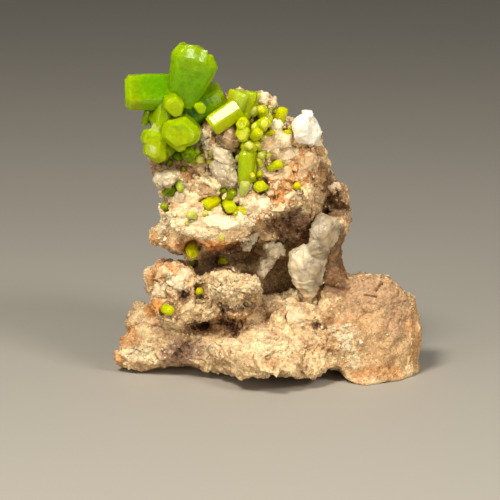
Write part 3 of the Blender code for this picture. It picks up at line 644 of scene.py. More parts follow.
def rockRelief(points, shares):
    # height of the surface over the merged form, in mm: slow waves, then chips of three sizes, each a
    # broken plane with a slant of its own; seams open along some borders of the chips, holes where it
    # is spongy, and little of any of them where it is calm
    size, high = rock["sizes"], rock["heights"]
    large, largeGap = chips(points, size["large"], 101)
    middle, middleGap = chips(points, size["middle"], 121)
    calm, sponge = shares["calm"], shares["sponge"]
    lively = 1.0 - rock["calmLess"] * calm
    opened = smooth(-0.1, 0.5, layered(points, size["seam"], 181)) * lively
    height = high["wave"] * layered(points, size["wave"], 191, 3) * lively
    height += high["large"] * large * lively + high["middle"] * middle * (lively + 0.5 * sponge)
    height += high["small"] * slants(points, size["small"], 141) * (1.0 - 0.4 * calm)
    height += high["plane"] * shares["planar"] * slants(points, size["plane"], 501, 1.3)
    height -= high["seam"] * (1.0 - smooth(0.0, 0.14, largeGap)) * opened
    height -= (0.10 + 0.4 * sponge) * (1.0 - smooth(0.0, 0.20, middleGap)) * opened
    holes = cells(points, size["hole"], 161)
    height -= high["hole"] * sponge * (1.0 - smooth(0.16, 0.40, holes["far"]))
    for name, salt in (("sugar", 401), ("sugarFine", 421)):
        height += shares["white"] * high[name] * facets(points, size[name], salt)
    return height + high["tooth"] * waves(points, size["tooth"], 171) - rock["inward"]


def rockSink(points, normals):
    # how far the photo's hollows and cracks go in along the line of sight
    u, v = pixelOf(points)
    sink = np.zeros(len(points))
    for markU, markV, reachU, reachV, depth in rock["hollows"]:
        far = np.hypot((u - markU) / reachU, (v - markV) / reachV)
        sink = np.maximum(sink, depth * np.exp(-far ** 4))
    wanderU, wanderV = (2.5 * waves(points, 1.0, salt) for salt in (251, 252))
    sink += crackDepth(u + wanderU, v + wanderV)
    return sink * np.clip(-(normals @ sight), 0.0, 1.0) * frontShare(points)


def buildRock(material):
    mesh = remeshed(nodeCopy("matrix_rock"), rock["voxel"])
    points = relaxed(pointsOf(mesh), edgesOf(mesh), 4)
    setPoints(mesh, points)
    normals = normalsOf(mesh)
    height = rockRelief(points, rockZones(points)) * smooth(0.15, 1.2, points[:, 2])
    moved = points + normals * height[:, None] + sight * rockSink(points, normals)[:, None]
    setPoints(mesh, inBox(moved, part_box("matrix_rock")))
    toEye = -(normalsOf(mesh) @ sight)
    front = smooth(-0.35, 0.15, toEye) * frontShare(points)
    mesh = thinned(mesh, rock["triangles"], rock["backDetail"] + (1.0 - rock["backDetail"]) * front)
    points = pointsOf(mesh)
    shares = rockZones(points)
    # painted shade: the hollow share darkens the rock brown where the surface dips, more on the front and
    # less where it is white
    shade = rock["hollowShade"] + rock["hollowFront"] * frontShare(points)
    hollow = smooth(0.04, 0.30, dipOf(mesh, points, 10)) * shade
    shares["hollow"] = hollow * (1.0 - rock["hollowWhite"] * np.clip(shares["white"], 0.0, 1.0))
    for name in rockFinish["shares"]:
        setShare(mesh, name, np.clip(shares[name], 0.0, 1.0))
    return addPiece("rock", mesh, material, ["matrix_rock"])


def treeOf(*pieces):
    # search tree over the faces of pieces, for rays
    form = bmesh.new()
    for piece in pieces:
        form.from_mesh(piece.data)
    tree = BVHTree.FromBMesh(form)
    form.free()
    return tree


def spotOn(tree, u, v):
    # where the line through a picture place meets a piece, in mm, and its normal there
    start = Vector(eye * mm)
    hit, normal, _, _ = tree.ray_cast(start, Vector(lineThrough(u, v)))
    if hit is None:
        return None, None
    return np.array(hit) / mm, np.array(normal)


def strewn(rng, tree, u, v, reachU, reachV):
    # a spot on the rock, picked evenly from an ellipse in the picture
    turn, far = rng.uniform(0.0, 2.0 * math.pi), math.sqrt(rng.uniform())
    return spotOn(tree, u + reachU * far * math.cos(turn), v + reachV * far * math.sin(turn))


# Quartz that stands out of the rock as blocks of its own
quartz = {
    "voxel": 0.16, "grow": 0.16, "cuts": 18,
    "layers": [(facets, 0.36, 2.4, 5), (facets, 0.28, 1.0, 10), (facets, 0.14, 0.45, 20),
               (waves, 0.06, 0.3, 15), (slants, 0.12, 1.5, 30)],           # form, height, size, salt
    # hollow is how dark painted shade makes the dips
    "breakSize": 3.2, "breakSlant": 1.5, "wander": 6.0, "veins": 0.35, "veinSize": 1.6, "hollow": 0.6,
    # the grey spots on the slab are painted shade where the rock above shades it
    "grey_and_shade": [(324, 226, 19, 26, 0.35), (321, 264, 12, 36, 0.4), (306, 282, 9, 16, 0.2)],
    "stain": [(306, 296, 7, 4, 0.2), (318, 210, 8, 5, 0.3), (226, 138, 16, 12, 0.25)],
    # each piece's first number is grey with painted shade; the upper block's high grey is painted shade
    "pieces": {"quartz_slab": (0.3, 0.06, 0.5, 0.35), "quartz_block_upper_right": (-0.7, 0.25, 0.6, 0.9),
               "quartz_block_left": (0.3, 0.35, 0.9, 0.4), "quartz_block_middle": (0.4, 0.4, 0.9, 0.7),
               "quartz_block_upper": (0.85, 0.4, 0.4, 0.4), "quartz_shard": (0.4, 0.15, 1.3, 0.8),
               "quartz_lump": (0.4, 0.2, 1.3, 0.7)},      # grey (below 0 is whiter), cuts, bumps, breaks
}


def chiselled(points, salt, cutDepth):
    # flat breaks: the cut planes face evenly spread ways, each at a depth of its own, and what stands
    # past a plane is pushed back onto it
    middle = points.mean(axis=0)
    for k in range(quartz["cuts"]):
        turn = k * math.pi * (3.0 - math.sqrt(5.0))
        up = 1.0 - 2.0 * (k + 0.5) / quartz["cuts"]
        level = math.sqrt(1.0 - up * up)
        way = np.array([level * math.cos(turn), level * math.sin(turn), up])
        along = (points - middle) @ way
        limit = along.max() * (1.0 - cutDepth * hashed(np.array([[k, 3, 5]]), salt))
        points = points - np.maximum(along - limit, 0.0)[:, None] * way
    return points


def tintQuartz(mesh, points, grey_and_shade, stain):
    # the shares that the quartz finish reads; painted shade makes it darker where it dips under what is
    # round it
    hollow = smooth(0.05, 0.25, dipOf(mesh, points, 8)) * quartz["hollow"]
    for name, values in (("grey_and_shade", grey_and_shade), ("stain", stain), ("hollow", hollow)):
        setShare(mesh, name, values)


def buildQuartz(material):
    for index, (name, (grey_and_shade, cutDepth, bumpy, broken)) in enumerate(quartz["pieces"].items()):
        salt = 200 + 40 * index
        mesh = remeshed(nodeCopy(name), quartz["voxel"])
        points = relaxed(chiselled(pointsOf(mesh), salt, cutDepth), edgesOf(mesh), 1)
        setPoints(mesh, points)
        height = quartz["grow"] + bumpy * reliefOf(points, quartz["layers"], salt)
        height += broken * slants(points, quartz["breakSize"], salt + 35, quartz["breakSlant"])
        points = points + normalsOf(mesh) * height[:, None]
        setPoints(mesh, points)
        wander = quartz["wander"] * layered(points, 2.0, salt + 50)
        u, v = pixelOf(points)
        veined = quartz["veins"] * smooth(0.1, 0.8, layered(points, quartz["veinSize"], salt + 40))
        veined = veined * (1.0 - min(1.0, 2.0 * abs(grey_and_shade)))
        tintQuartz(mesh, points, grey_and_shade + spots(u + wander, v - wander, quartz["grey_and_shade"]),
                   veined + spots(u + wander, v, quartz["stain"]))
        addPiece(name + "_broken", mesh, material, [name], sharp=35)


# Blocks: larger broken quartz, seated where the photo shows it. Rows are (u, v, reach across, reach
# up in pixels, turn in degrees, share that stands out, grey with painted shade, stain).
blocks = {
    "voxel": 0.15, "thick": 0.85, "seed": 8, "corners": 14, "grow": 1.3, "veins": 0.25,
    "layers": [(facets, 0.26, 0.95, 10), (facets, 0.14, 0.42, 20), (slants, 0.14, 1.4, 30),
               (waves, 0.05, 0.3, 50)],
    "rows": [(204, 190, 11, 9, 10, 0.5, 0.75, 0.35), (184, 200, 17, 10, 0, 0.35, 0.35, 0.15),
             (237, 194, 7, 8, 0, 0.6, 0.0, 0.05), (252, 203, 11, 9, 20, 0.5, 0.0, 0.05),
             (264, 205, 8, 9, 0, 0.45, 0.0, 0.15), (205, 134, 5, 5, 30, 0.9, 0.0, 0.1),
             (204, 141, 4, 4, 40, 1.0, 0.0, 0.0), (209, 150, 5, 8, 0, 0.6, 0.3, 0.3),
             (195, 163, 7, 5, 0, 0.6, 0.4, 0.4), (221, 157, 11, 7, 0, 0.8, 0.35, 0.1),
             (264, 147, 8, 10, 0, 0.5, 0.0, 0.4), (281, 141, 12, 10, 15, 0.55, 0.1, 0.2),
             (277, 156, 10, 8, 0, 0.5, 0.0, 0.4), (289, 152, 6, 8, 20, 0.6, 0.0, 0.1),
             (265, 169, 8, 8, 0, 0.5, 0.1, 0.15), (274, 177, 10, 6, 0, 0.4, 0.05, 0.35),
             (287, 174, 9, 8, 0, 0.45, 0.05, 0.5), (298, 152, 8, 11, 10, 0.5, 0.0, 0.2),
             (308, 160, 8, 18, -15, 0.55, 0.45, 0.4), (299, 171, 8, 9, 0, 0.4, 0.1, 0.3),
             (268, 191, 6, 6, 0, 0.5, 0.0, 0.7), (288, 195, 7, 10, 0, 0.55, 0.0, 0.5),
             (277, 207, 8, 4, 0, 0.5, 0.0, 0.45), (263, 98, 8, 6, 0, 0.6, 0.0, 0.1),
             (272, 102, 7, 6, 20, 0.6, 0.1, 0.25), (272, 114, 6, 9, 0, 0.5, 0.2, 0.1),
             (276, 126, 6, 7, 0, 0.6, 0.0, 0.0), (288, 122, 4, 5, 0, 0.6, 0.1, 0.25),
             (318, 141, 6, 5, 0, 0.7, 0.0, 0.1), (321, 190, 10, 8, 0, 0.4, 0.6, 0.4),
             (334, 188, 7, 6, 0, 0.5, 0.3, 0.3), (319, 201, 9, 6, 0, 0.4, 0.75, 0.3),
             (322, 174, 7, 9, 0, 0.4, 0.7, 0.5), (163, 193, 5, 5, 0, 0.7, 0.1, 0.2),
             (162, 207, 4, 4, 0, 0.7, 0.1, 0.1), (226, 128, 8, 6, 0, 0.3, 0.6, 0.4),
             (247, 188, 6, 9, 0, 0.5, 0.2, 0.25), (160, 290, 9, 8, 0, 0.4, 0.1, 0.35),
             (177, 283, 9, 8, 25, 0.45, 0.0, 0.15), (165, 272, 8, 6, 0, 0.4, 0.0, 0.45),
             (185, 276, 8, 7, 0, 0.4, 0.1, 0.3), (262, 248, 7, 8, 0, 0.6, 0.2, 0.35),
             (243, 237, 9, 4, 0, 0.5, 0.0, 0.2), (270, 262, 7, 6, 30, 0.7, 0.3, 0.3),
             (279, 247, 6, 5, 0, 0.8, 0.2, 0.2), (262, 271, 5, 5, 0, 0.7, 0.3, 0.4),
             (296, 317, 16, 12, 0, 0.3, 0.1, 0.3), (186, 225, 16, 8, 8, 0.3, 0.0, 0.15),
             (218, 224, 18, 8, -5, 0.3, 0.0, 0.1), (202, 233, 18, 5, 0, 0.35, 0.05, 0.35),
             (243, 219, 12, 6, -15, 0.35, 0.0, 0.15), (272, 150, 8, 8, 0, 0.6, 0.0, 0.4)],
}


def buildBlocks(tree, material):
    # each block is the hull of points scattered on a squashed ball, turned in the picture's plane;
    # every point of the joined surface takes the tint of the block whose middle is nearest
    rng = np.random.default_rng(blocks["seed"])
    across = np.array([1.0, 0.0, 0.0])
    hulls, middles, reaches, tints = [], [], [], []
    for u, v, reachU, reachV, turn, proud, *tint in blocks["rows"]:
        place, _ = spotOn(tree, u, v)
        ways = rng.normal(size=(blocks["corners"], 3))
        ways /= np.linalg.norm(ways, axis=1)[:, None]
        if place is None:
            continue
        angle = math.radians(turn)
        right = across * math.cos(angle) + upSight * math.sin(angle)
        up = upSight * math.cos(angle) - across * math.sin(angle)
        wide, high = (blocks["grow"] * reach * view["pixel"] for reach in (reachU, reachV))
        deep = blocks["thick"] * min(wide, high)
        middle = place + sight * deep * (0.85 - 1.1 * proud)
        corners = middle + ways[:, :1] * wide * right - ways[:, 1:2] * deep * sight + ways[:, 2:] * high * up
        corners, faces = hullOf(corners * mm)
        hulls.append((corners / mm, faces))
        middles.append(middle)
        reaches.append(max(wide, high))
        tints.append(tint)
    mesh = remeshed(meshFrom("blocks", *joined(hulls)), blocks["voxel"])
    points = relaxed(pointsOf(mesh), edgesOf(mesh), 1)
    setPoints(mesh, points)
    points = points + normalsOf(mesh) * reliefOf(points, blocks["layers"], 600)[:, None]
    setPoints(mesh, inBox(points))
    away = [np.linalg.norm(points - middle, axis=1) / reach for middle, reach in zip(middles, reaches)]
    grey_and_shade, stain = np.array(tints)[np.argmin(away, axis=0)].T
    veined = blocks["veins"] * smooth(0.1, 0.8, layered(points, quartz["veinSize"], 640))
    tintQuartz(mesh, points, grey_and_shade, np.clip(stain + veined, 0.0, 1.0))
    return addPiece("quartz_blocks", mesh, material, sharp=35)


# Rubble: broken quartz from 0.25 to 1.4 mm that crowds the face of the rock. Zones are (u, v, reach
# across, reach up, count, smallest, largest, grey with painted shade, stain).
rubble = {
    "zones": [(203, 147, 13, 13, 28, 0.40, 1.40, 0.45, 0.10),
              (222, 172, 26, 18, 22, 0.40, 1.30, 0.50, 0.15),
              (184, 182, 14, 10, 26, 0.40, 1.20, 0.40, 0.30),
              (240, 168, 9, 18, 26, 0.40, 1.10, 0.30, 0.15),
              (264, 146, 12, 22, 26, 0.35, 1.30, 0.05, 0.30),
              (288, 142, 16, 24, 34, 0.35, 1.40, 0.05, 0.35),
              (282, 172, 20, 14, 28, 0.35, 1.30, 0.05, 0.65),
              (252, 194, 20, 10, 24, 0.35, 1.20, 0.10, 0.15),
              (286, 194, 16, 12, 26, 0.35, 1.30, 0.05, 0.70),
              (310, 166, 9, 22, 10, 0.35, 0.80, 0.15, 0.70),
              (204, 222, 44, 13, 55, 0.25, 0.80, 0.05, 0.25),
              (264, 212, 22, 10, 34, 0.30, 1.10, 0.10, 0.15),
              (160, 240, 11, 13, 34, 0.30, 1.00, 0.15, 0.40),
              (171, 286, 19, 13, 48, 0.30, 1.10, 0.15, 0.35),
              (236, 284, 24, 15, 80, 0.25, 0.75, 0.20, 0.25),
              (228, 302, 22, 9, 40, 0.25, 0.60, 0.25, 0.35),
              (245, 345, 56, 16, 130, 0.25, 0.80, 0.10, 0.25),
              (150, 345, 26, 18, 60, 0.25, 0.70, 0.10, 0.35),
              (350, 345, 12, 22, 60, 0.25, 0.80, 0.25, 0.05),
              (296, 318, 16, 12, 6, 0.25, 0.60, 0.10, 0.10),
              (255, 222, 12, 8, 24, 0.30, 0.90, 0.15, 0.45),
              (308, 128, 14, 14, 20, 0.35, 1.20, 0.00, 0.05),
              (222, 110, 12, 8, 22, 0.30, 0.90, 0.30, 0.35),
              (280, 108, 16, 8, 30, 0.35, 1.10, 0.05, 0.15)],
    "kinds": 8, "corners": 13, "seed": 31, "sunk": 0.06, "rarer": 1.7, "fill": 0.62,
    "greySpread": 0.3, "stainSpread": 1.8, "thinnest": 0.65,
}


def buildRubble(tree, material):
    # chunks copied from a few hulls, each with a size, a squash and a turn of its own
    rng = np.random.default_rng(rubble["seed"])
    forms, chunks, tints = [], [], []
    for _ in range(rubble["kinds"]):
        cloud = rng.uniform(-1.0, 1.0, (rubble["corners"], 3))
        forms.append(hullOf(cloud / np.maximum(1.0, 0.8 * np.linalg.norm(cloud, axis=1))[:, None]))
    for *zone, count, small, large, grey_and_shade, stain in rubble["zones"]:
        for _ in range(count):
            place, normal = strewn(rng, tree, *zone)
            size = small + (large - small) * rng.uniform() ** rubble["rarer"]
            corners, faces = forms[rng.integers(len(forms))]
            turned = np.linalg.qr(rng.normal(size=(3, 3)))[0]
            turned = turned * np.sign(np.linalg.det(turned))
            spread = rubble["greySpread"]
            tint = rng.uniform(-spread, spread) + grey_and_shade, stain * rng.uniform(0.0, rubble["stainSpread"])
            if place is None:
                continue
            squash = rng.uniform(rubble["thinnest"], 1.0, 3)
            chunk = (corners * squash * size * rubble["fill"]) @ turned.T
            chunks.append((place - normal * size * rubble["sunk"] + chunk, faces))
            tints.append((*tint, 0.0))
    points, faces = joined(chunks)
    mesh = meshFrom("rubble", inBox(points), faces)
    tints = np.repeat(np.clip(tints, 0.0, 1.0), [len(corners) for corners, _ in chunks], axis=0)
    for name, values in zip(quartzFinish["shares"], tints.T):
        setShare(mesh, name, values)
    return addPiece("quartz_rubble", mesh, material, sharp=20)


# Halfway between the way to the key light and the way to the eye: a facet that looks this way flashes
keyWay = np.subtract(stage["lights"]["key"]["place"], stage["aimAt"])
glint = keyWay / np.linalg.norm(keyWay) - sight

# Pyromorphite crystals that are grown together: foot and tip as (across, up, depth) in mm from the
# traced origin, width over corners in mm, roll in degrees, and what else the crystal has
crystalGroups = {
    "main_cluster": [
        # the first crystal's foot is painted yellower, as painted light on its shaded lower part
        ((-13.0, 38.6, -4.8), (-10.7, 47.4, -4.3), 8.4, 18,
         dict(taper=0.50, rough=0.8, step=0.7, bevel=0.2, inset=0.55, tint=0.0, tipTint=0.25,
              paintedFootGlow=0.12, sharp=12.0, sides=(0.80, 1.14, 0.86, 0.72, 0.76, 1.10))),
        ((-13.6, 40.5, -4.2), (-21.1, 40.3, -5.0), 5.9, 15,
         dict(amber=0.25, tipTint=0.2, flat=0.5, bevel=0.1, inset=1.0, sharp=10.0,
              sides=(0.86, 1.13, 0.85, 0.90, 0.86, 1.02))),
        ((-12.6, 37.4, -3.0), (-6.6, 40.2, -2.2), 4.9, 10, dict(tipTint=0.3, sharp=15.0, shade=0.1)),
        ((-14.2, 39.6, -5.2), (-13.7, 38.2, -8.6), 3.3, 20, dict(tint=0.3, dome=0.1, rough=0.2)),
        ((-15.2, 39.2, -5.6), (-15.8, 34.6, -6.2), 3.2, 0, dict(tint=0.15)),
        ((-12.6, 35.4, -3.6), (-13.0, 34.5, -9.2), 5.8, 15,
         dict(tint=0.25, rough=0.6, dome=0.25, bevel=0.17, flank=3)),
        ((-16.0, 34.2, -4.4), (-17.2, 33.7, -8.2), 4.1, 10,
         dict(tint=0.3, rough=0.9, dome=0.35, bevel=0.24)),
        ((-15.8, 32.6, -4.2), (-17.0, 32.3, -8.4), 4.4, 25,
         dict(tint=0.3, rough=0.9, dome=0.4, bevel=0.24, glassy=0.45)),
        ((-15.6, 34.8, -5.0), (-16.6, 35.5, -7.2), 1.7, 0, dict(tint=0.2, pale=0.3)),
        ((-15.8, 35.6, -5.2), (-17.6, 37.4, -4.8), 2.1, 0, dict(tint=0.2, shade=0.2)),
        ((-11.9, 32.6, -4.6), (-11.6, 31.0, -7.2), 2.4, 0, dict(shade=0.4)),
        ((-10.6, 38.9, -3.4), (-9.9, 38.2, -6.2), 2.1, 10, dict(tint=0.2)),
        ((-13.4, 34.6, -4.2), (-15.4, 31.8, -6.6), 2.6, 20, dict(shade=0.2, tint=0.1)),
    ],
    "blade_group": [
        ((-4.4, 38.4, -6.6), (-8.5, 35.6, -7.3), 3.2, 0,
         dict(toward=glint, tint=0.5, flat=0.9, sharp=16.0)),
        ((-5.2, 36.8, -5.6), (-3.7, 40.7, -6.2), 2.9, 8, dict(tint=0.6, pale=0.1)),
        ((-5.2, 38.2, -5.4), (-4.9, 41.0, -5.4), 1.9, 15, dict(tint=0.7)),
        ((-3.4, 37.0, -5.4), (-2.4, 40.7, -5.4), 2.2, 25, dict(tint=0.5)),
        ((-2.4, 38.0, -4.8), (-1.8, 40.5, -4.6), 1.8, 0, dict(tint=0.7, pale=0.2)),
    ],
    "column": [
        ((-3.5, 35.2, -5.4), (-3.9, 36.1, -8.5), 2.1, 0, dict(tint=1.0, hopper=0.3)),
        ((-2.6, 34.2, -4.6), (-4.0, 34.6, -8.7), 2.6, 10,
         dict(tint=0.8, pale=0.1, rough=0.5, dome=0.2, flank=3)),
        ((-1.9, 34.4, -5.2), (-1.6, 35.4, -8.4), 2.3, 40, dict(tint=0.75, rough=0.5, dome=0.2)),
        ((-2.2, 33.4, -4.8), (-3.0, 32.4, -8.5), 2.6, 25, dict(tint=0.8, rough=0.5, dome=0.2, flank=3)),
        ((-3.1, 27.6, -7.2), (-2.9, 32.3, -7.4), 2.9, 0, dict(tint=0.5, rough=0.5, dome=0.2, flank=4)),
        ((-2.9, 28.6, -5.8), (-3.7, 27.0, -7.8), 2.1, 15, dict(tint=0.9, pale=0.5)),
        ((-1.2, 35.6, -4.6), (-0.5, 36.2, -8.2), 2.4, 35, dict(tint=0.8, rough=0.5, dome=0.2)),
        ((-0.9, 37.0, -4.6), (-0.8, 38.1, -7.4), 1.9, 5, dict(tint=0.9, hopper=0.25)),
        ((-1.6, 29.6, -5.4), (-1.2, 31.2, -7.6), 1.8, 5, dict(tint=0.8, pale=0.4)),
    ],
    "hollow_group": [
        ((-6.9, 25.3, -5.4), (-9.6, 23.6, -8.5), 2.2, 10, dict(tint=0.8, rough=0.5, dome=0.2, flank=3)),
        ((-5.4, 26.5, -4.2), (-7.4, 24.9, -6.3), 2.2, 0, dict(tint=0.2, shade=0.8)),
        ((-5.9, 24.4, -5.0), (-5.5, 23.6, -9.1), 2.3, 0, dict(tint=0.9, rough=0.5, dome=0.3)),
        ((-5.2, 23.4, -7.4), (-3.2, 23.1, -8.5), 1.3, 0, dict(tint=0.9)),
    ],
}
crystalShape = {
    "origin": (268.5, 369.2, 1.95),          # picture place and depth of the traced origin
    # from a width in mm up: points around, rings up the side, rings over the end
    "fineness": [(3.5, 84, 44, 16), (1.8, 48, 22, 9), (1.2, 30, 12, 6), (0.0, 18, 6, 4)],
    "sharpness": 10.0, "bevel": 0.13, "uneven": 0.15, "waist": 0.07, "stria": 0.012, "sides": 6,
    # underglow is painted light: a crystal's downward side is painted yellower as if light came through it
    "singleGrow": 0.12, "inset": 0.62, "ledge": 0.035, "underglow": 0.14, "smoothAngle": 21,
    "striaSize": 0.35, "stepLong": 1.3, "hillock": 1.3,                                         # mm
    "swell": 0.055, "swellSize": 1.9, "ripple": 0.022, "rippleSize": 0.45,                      # mm
    # painted glow: edges, rims and end faces are painted lighter and yellower, partly real yellower growth
    "edgeGlow": 0.45, "rimGlow": 0.7, "capGlow": 0.3,        # how far edges and ends turn yellower
}


def grownSpec(foot, tip, width, roll, more):
    # one row of a group, its ends carried from the picture to their real places
    u, v, depth = crystalShape["origin"]
    foot, tip = (seenPoint(u + across / view["pixel"], v - up / view["pixel"], deep + depth)
                 for across, up, deep in (foot, tip))
    return dict(foot=foot, tip=tip, width=width, roll=roll, **more)


def crystalFrame(spec):
    # foot, unit axis, the two directions across it, length and apothem of one crystal, in mm. With no
    # roll the middle of one side face looks towards the eye (or towards "toward"), and a crystal
    # that points at the eye has that face upward.
    foot = spec["foot"]
    length = np.linalg.norm(spec["tip"] - foot)
    axis = (spec["tip"] - foot) / length
    front = spec.get("toward", -sight if abs(axis @ sight) < 0.8 else upSight)
    front = front - (front @ axis) * axis
    front = front / np.linalg.norm(front)
    turn = math.radians(spec.get("roll", 0.0) - 180.0 / crystalShape["sides"])
    side = front * math.cos(turn) + np.cross(axis, front) * math.sin(turn)
    apothem = spec["width"] / 2.0 * math.cos(math.pi / crystalShape["sides"])
    return foot, axis, side, np.cross(axis, side), length, apothem


def hexReach(theta, spec, length):
    # a hexagon's reach at each angle, 1 at a face's middle: the sides' distances joined by a high
    # power mean, so the corners are a little round; each side stands out by its own amount, the
    # first side being the one that looks at the eye
    sides = crystalShape["sides"]
    power = spec.get("sharp", crystalShape["sharpness"])
    total = np.zeros(np.shape(theta))
    for k in range(sides):
        out = 1.0 + crystalShape["uneven"] * math.sin((spec["width"] + length) * 3.7 + k * 2.4)
        out = spec["sides"][k] if "sides" in spec else out
        total += np.maximum(np.cos(theta - (k + 0.5) * 2.0 * math.pi / sides) / out, 0.0) ** power
    return total ** (-1.0 / power)


def girth(share, spec):
    # a barrel's width along its length: widest in the middle and less at both ends; a tapering one
    # narrows towards its foot, and a flat-sided one has hardly any waist
    waist = crystalShape["waist"] * (1.0 - spec.get("flat", 0.0))
    return 1.0 - waist * (2.0 * share - 1.0) ** 2 - spec.get("taper", 0.0) * (1.0 - share) ** 1.6


def capLift(x, y, reach, spec):
    # relief of the end face: a step down on the right for parallel growth, a sunk middle where it is
    # hoppered, a dome where it is rounded, and growth hillocks
    lift = np.zeros(np.shape(x))
    radius = np.hypot(x, y) / reach
    if spec.get("step"):
        turn = math.pi / crystalShape["sides"]
        rightward = y * math.cos(turn) - x * math.sin(turn)
        lift -= spec["step"] * smooth(0.36, 0.44, rightward / reach)
    if spec.get("hopper"):
        wide, narrow = (1 - smooth(*edge, radius) for edge in ((0.44, 0.50), (0.22, 0.28)))
        lift -= spec["hopper"] * (0.6 * wide + 0.4 * narrow)
    lift -= spec.get("dome", 0.0) * radius ** 2
    places = np.stack([x.ravel(), y.ravel(), np.full(x.size, spec["width"] * 3.1)], axis=1)
    size = crystalShape["hillock"]
    hills = waves(places, size, 77) + 0.5 * waves(places, 0.4 * size, 78)
    lift += (0.02 + 0.24 * spec.get("rough", 0.0)) * hills.reshape(x.shape)
    return lift


def crystalMesh(spec):
    # one barrel: rings from the foot's middle, up the sides, over the bevel and in over the end
    # face; each ring is a rounded hexagon scaled by the barrel's girth, with fine bands across it, and
    # a slender crystal has ledges where it grew in steps
    shape = crystalShape
    foot, axis, side, other, length, apothem = crystalFrame(spec)
    around, rings, capRings = next(row[1:] for row in shape["fineness"] if spec["width"] >= row[0])
    bevel = spec.get("bevel", shape["bevel"]) * spec["width"]
    theta = np.arange(around) * 2.0 * math.pi / around
    sideShare = np.linspace(0.0, 1.0 - bevel / length, rings)
    bevelTurn = np.linspace(0.0, 1.0, 5)[1:]
    capShare = np.linspace(1.0, 0.0, capRings + 1)[1:-1]
    rimReach = 1.0 - spec.get("inset", shape["inset"]) * bevel / apothem
    along = np.concatenate([sideShare, sideShare[-1] + (1.0 - sideShare[-1]) * bevelTurn,
                            np.ones(len(capShare))])
    reach = np.concatenate([np.ones(rings), 1.0 - (1.0 - rimReach) * bevelTurn, rimReach * capShare])
    grow, turn = np.meshgrid(along, theta, indexing="ij")
    out = reach[:, None] * girth(grow, spec) * apothem * hexReach(turn, spec, length)
    face = np.floor(turn / (2.0 * math.pi / shape["sides"]))
    lively = 1.0 - spec.get("flat", 0.0)
    slender = 1.0 - smooth(2.6, 3.6, spec["width"])

    def banded(size, apart, own, salt):
        # waves up the side that differ from face to face
        fixed = np.full(grow.size, own)
        places = np.stack([grow.ravel() * length / size, face.ravel() * apart, fixed], axis=1)
        return waves(places, 1.0, salt).reshape(grow.shape)

    bands = banded(shape["striaSize"], 5.3, length * 7.0, 71) * (grow < 0.99)
    out = out * (1.0 + shape["stria"] * lively * bands)
    steps = banded(shape["stepLong"], 3.7, spec["width"] * 5.0, 72)
    out = out * (1.0 - shape["ledge"] * slender * lively * smooth(-0.12, 0.12, steps))
    x = out * np.cos(turn)
    y = out * np.sin(turn)
    lift = capLift(x, y, apothem, spec) * smooth(0.55, 1.0, grow)
    points = (foot + (grow * length + lift)[..., None] * axis + x[..., None] * side + y[..., None] * other)
    count = len(along)
    grid = np.arange(count * around).reshape(count, around)
    nextAround = np.roll(grid, -1, axis=1)
    quads = np.stack([grid[:-1], nextAround[:-1], nextAround[1:], grid[1:]], axis=-1).reshape(-1, 4)
    low = np.stack([grid[0], nextAround[0], np.full(around, count * around)], axis=-1)[:, ::-1]
    high = np.stack([grid[-1], nextAround[-1], np.full(around, count * around + 1)], axis=-1)
    tipLift = capLift(np.zeros(1), np.zeros(1), apothem, spec)[0]
    ends = np.array([foot, foot + axis * (length + tipLift)])
    faces = np.concatenate([quads[:, [0, 1, 2]], quads[:, [0, 2, 3]], low, high])
    return meshFrom("crystal", np.concatenate([points.reshape(-1, 3), ends]), faces)


def unitedMesh(meshes):
    # one closed mesh of crystals that are grown together
    whole = meshes[0]
    for mesh in meshes[1:]:
        thing, other = linked("growing", whole), linked("grown", mesh)
        step = thing.modifiers.new("unite", "BOOLEAN")
        step.operation = "UNION"
        step.solver = "MANIFOLD"
        step.object = other
        whole = baked(thing)
        bpy.data.objects.remove(other)
    return whole


def softened(mesh, flat):
    # grown faces are never quite flat: each point moves along its normal by slow and quick waves
    shape = crystalShape
    points = pointsOf(mesh)
    move = shape["swell"] * waves(points, shape["swellSize"], 301)
    move += shape["ripple"] * waves(points, shape["rippleSize"], 302)
    setPoints(mesh, points + normalsOf(mesh) * (move * (1.0 - flat))[:, None])


def flankGrown(spec):
    # the crystal, and round its flank the smaller ones grown with it, parallel and a little shorter
    specs = [spec]
    foot, axis, side, other, length, _ = crystalFrame(spec)
    count = spec.get("flank", 0)
    for k in range(count):
        turn = (k + 0.5) * 2.0 * math.pi / count
        out = (side * math.cos(turn) + other * math.sin(turn)) * spec["width"]
        tip = foot + 0.20 * out + axis * length * (0.95 - 0.03 * (k % 3))
        specs.append(dict(foot=foot + 0.15 * out, tip=tip, width=spec["width"] * (0.50 + 0.06 * (k * 2 % 3)),
                          roll=17.0 * k, rough=0.3, dome=0.2, tint=spec["tint"] + 0.1 * (k % 2)))
    return specs


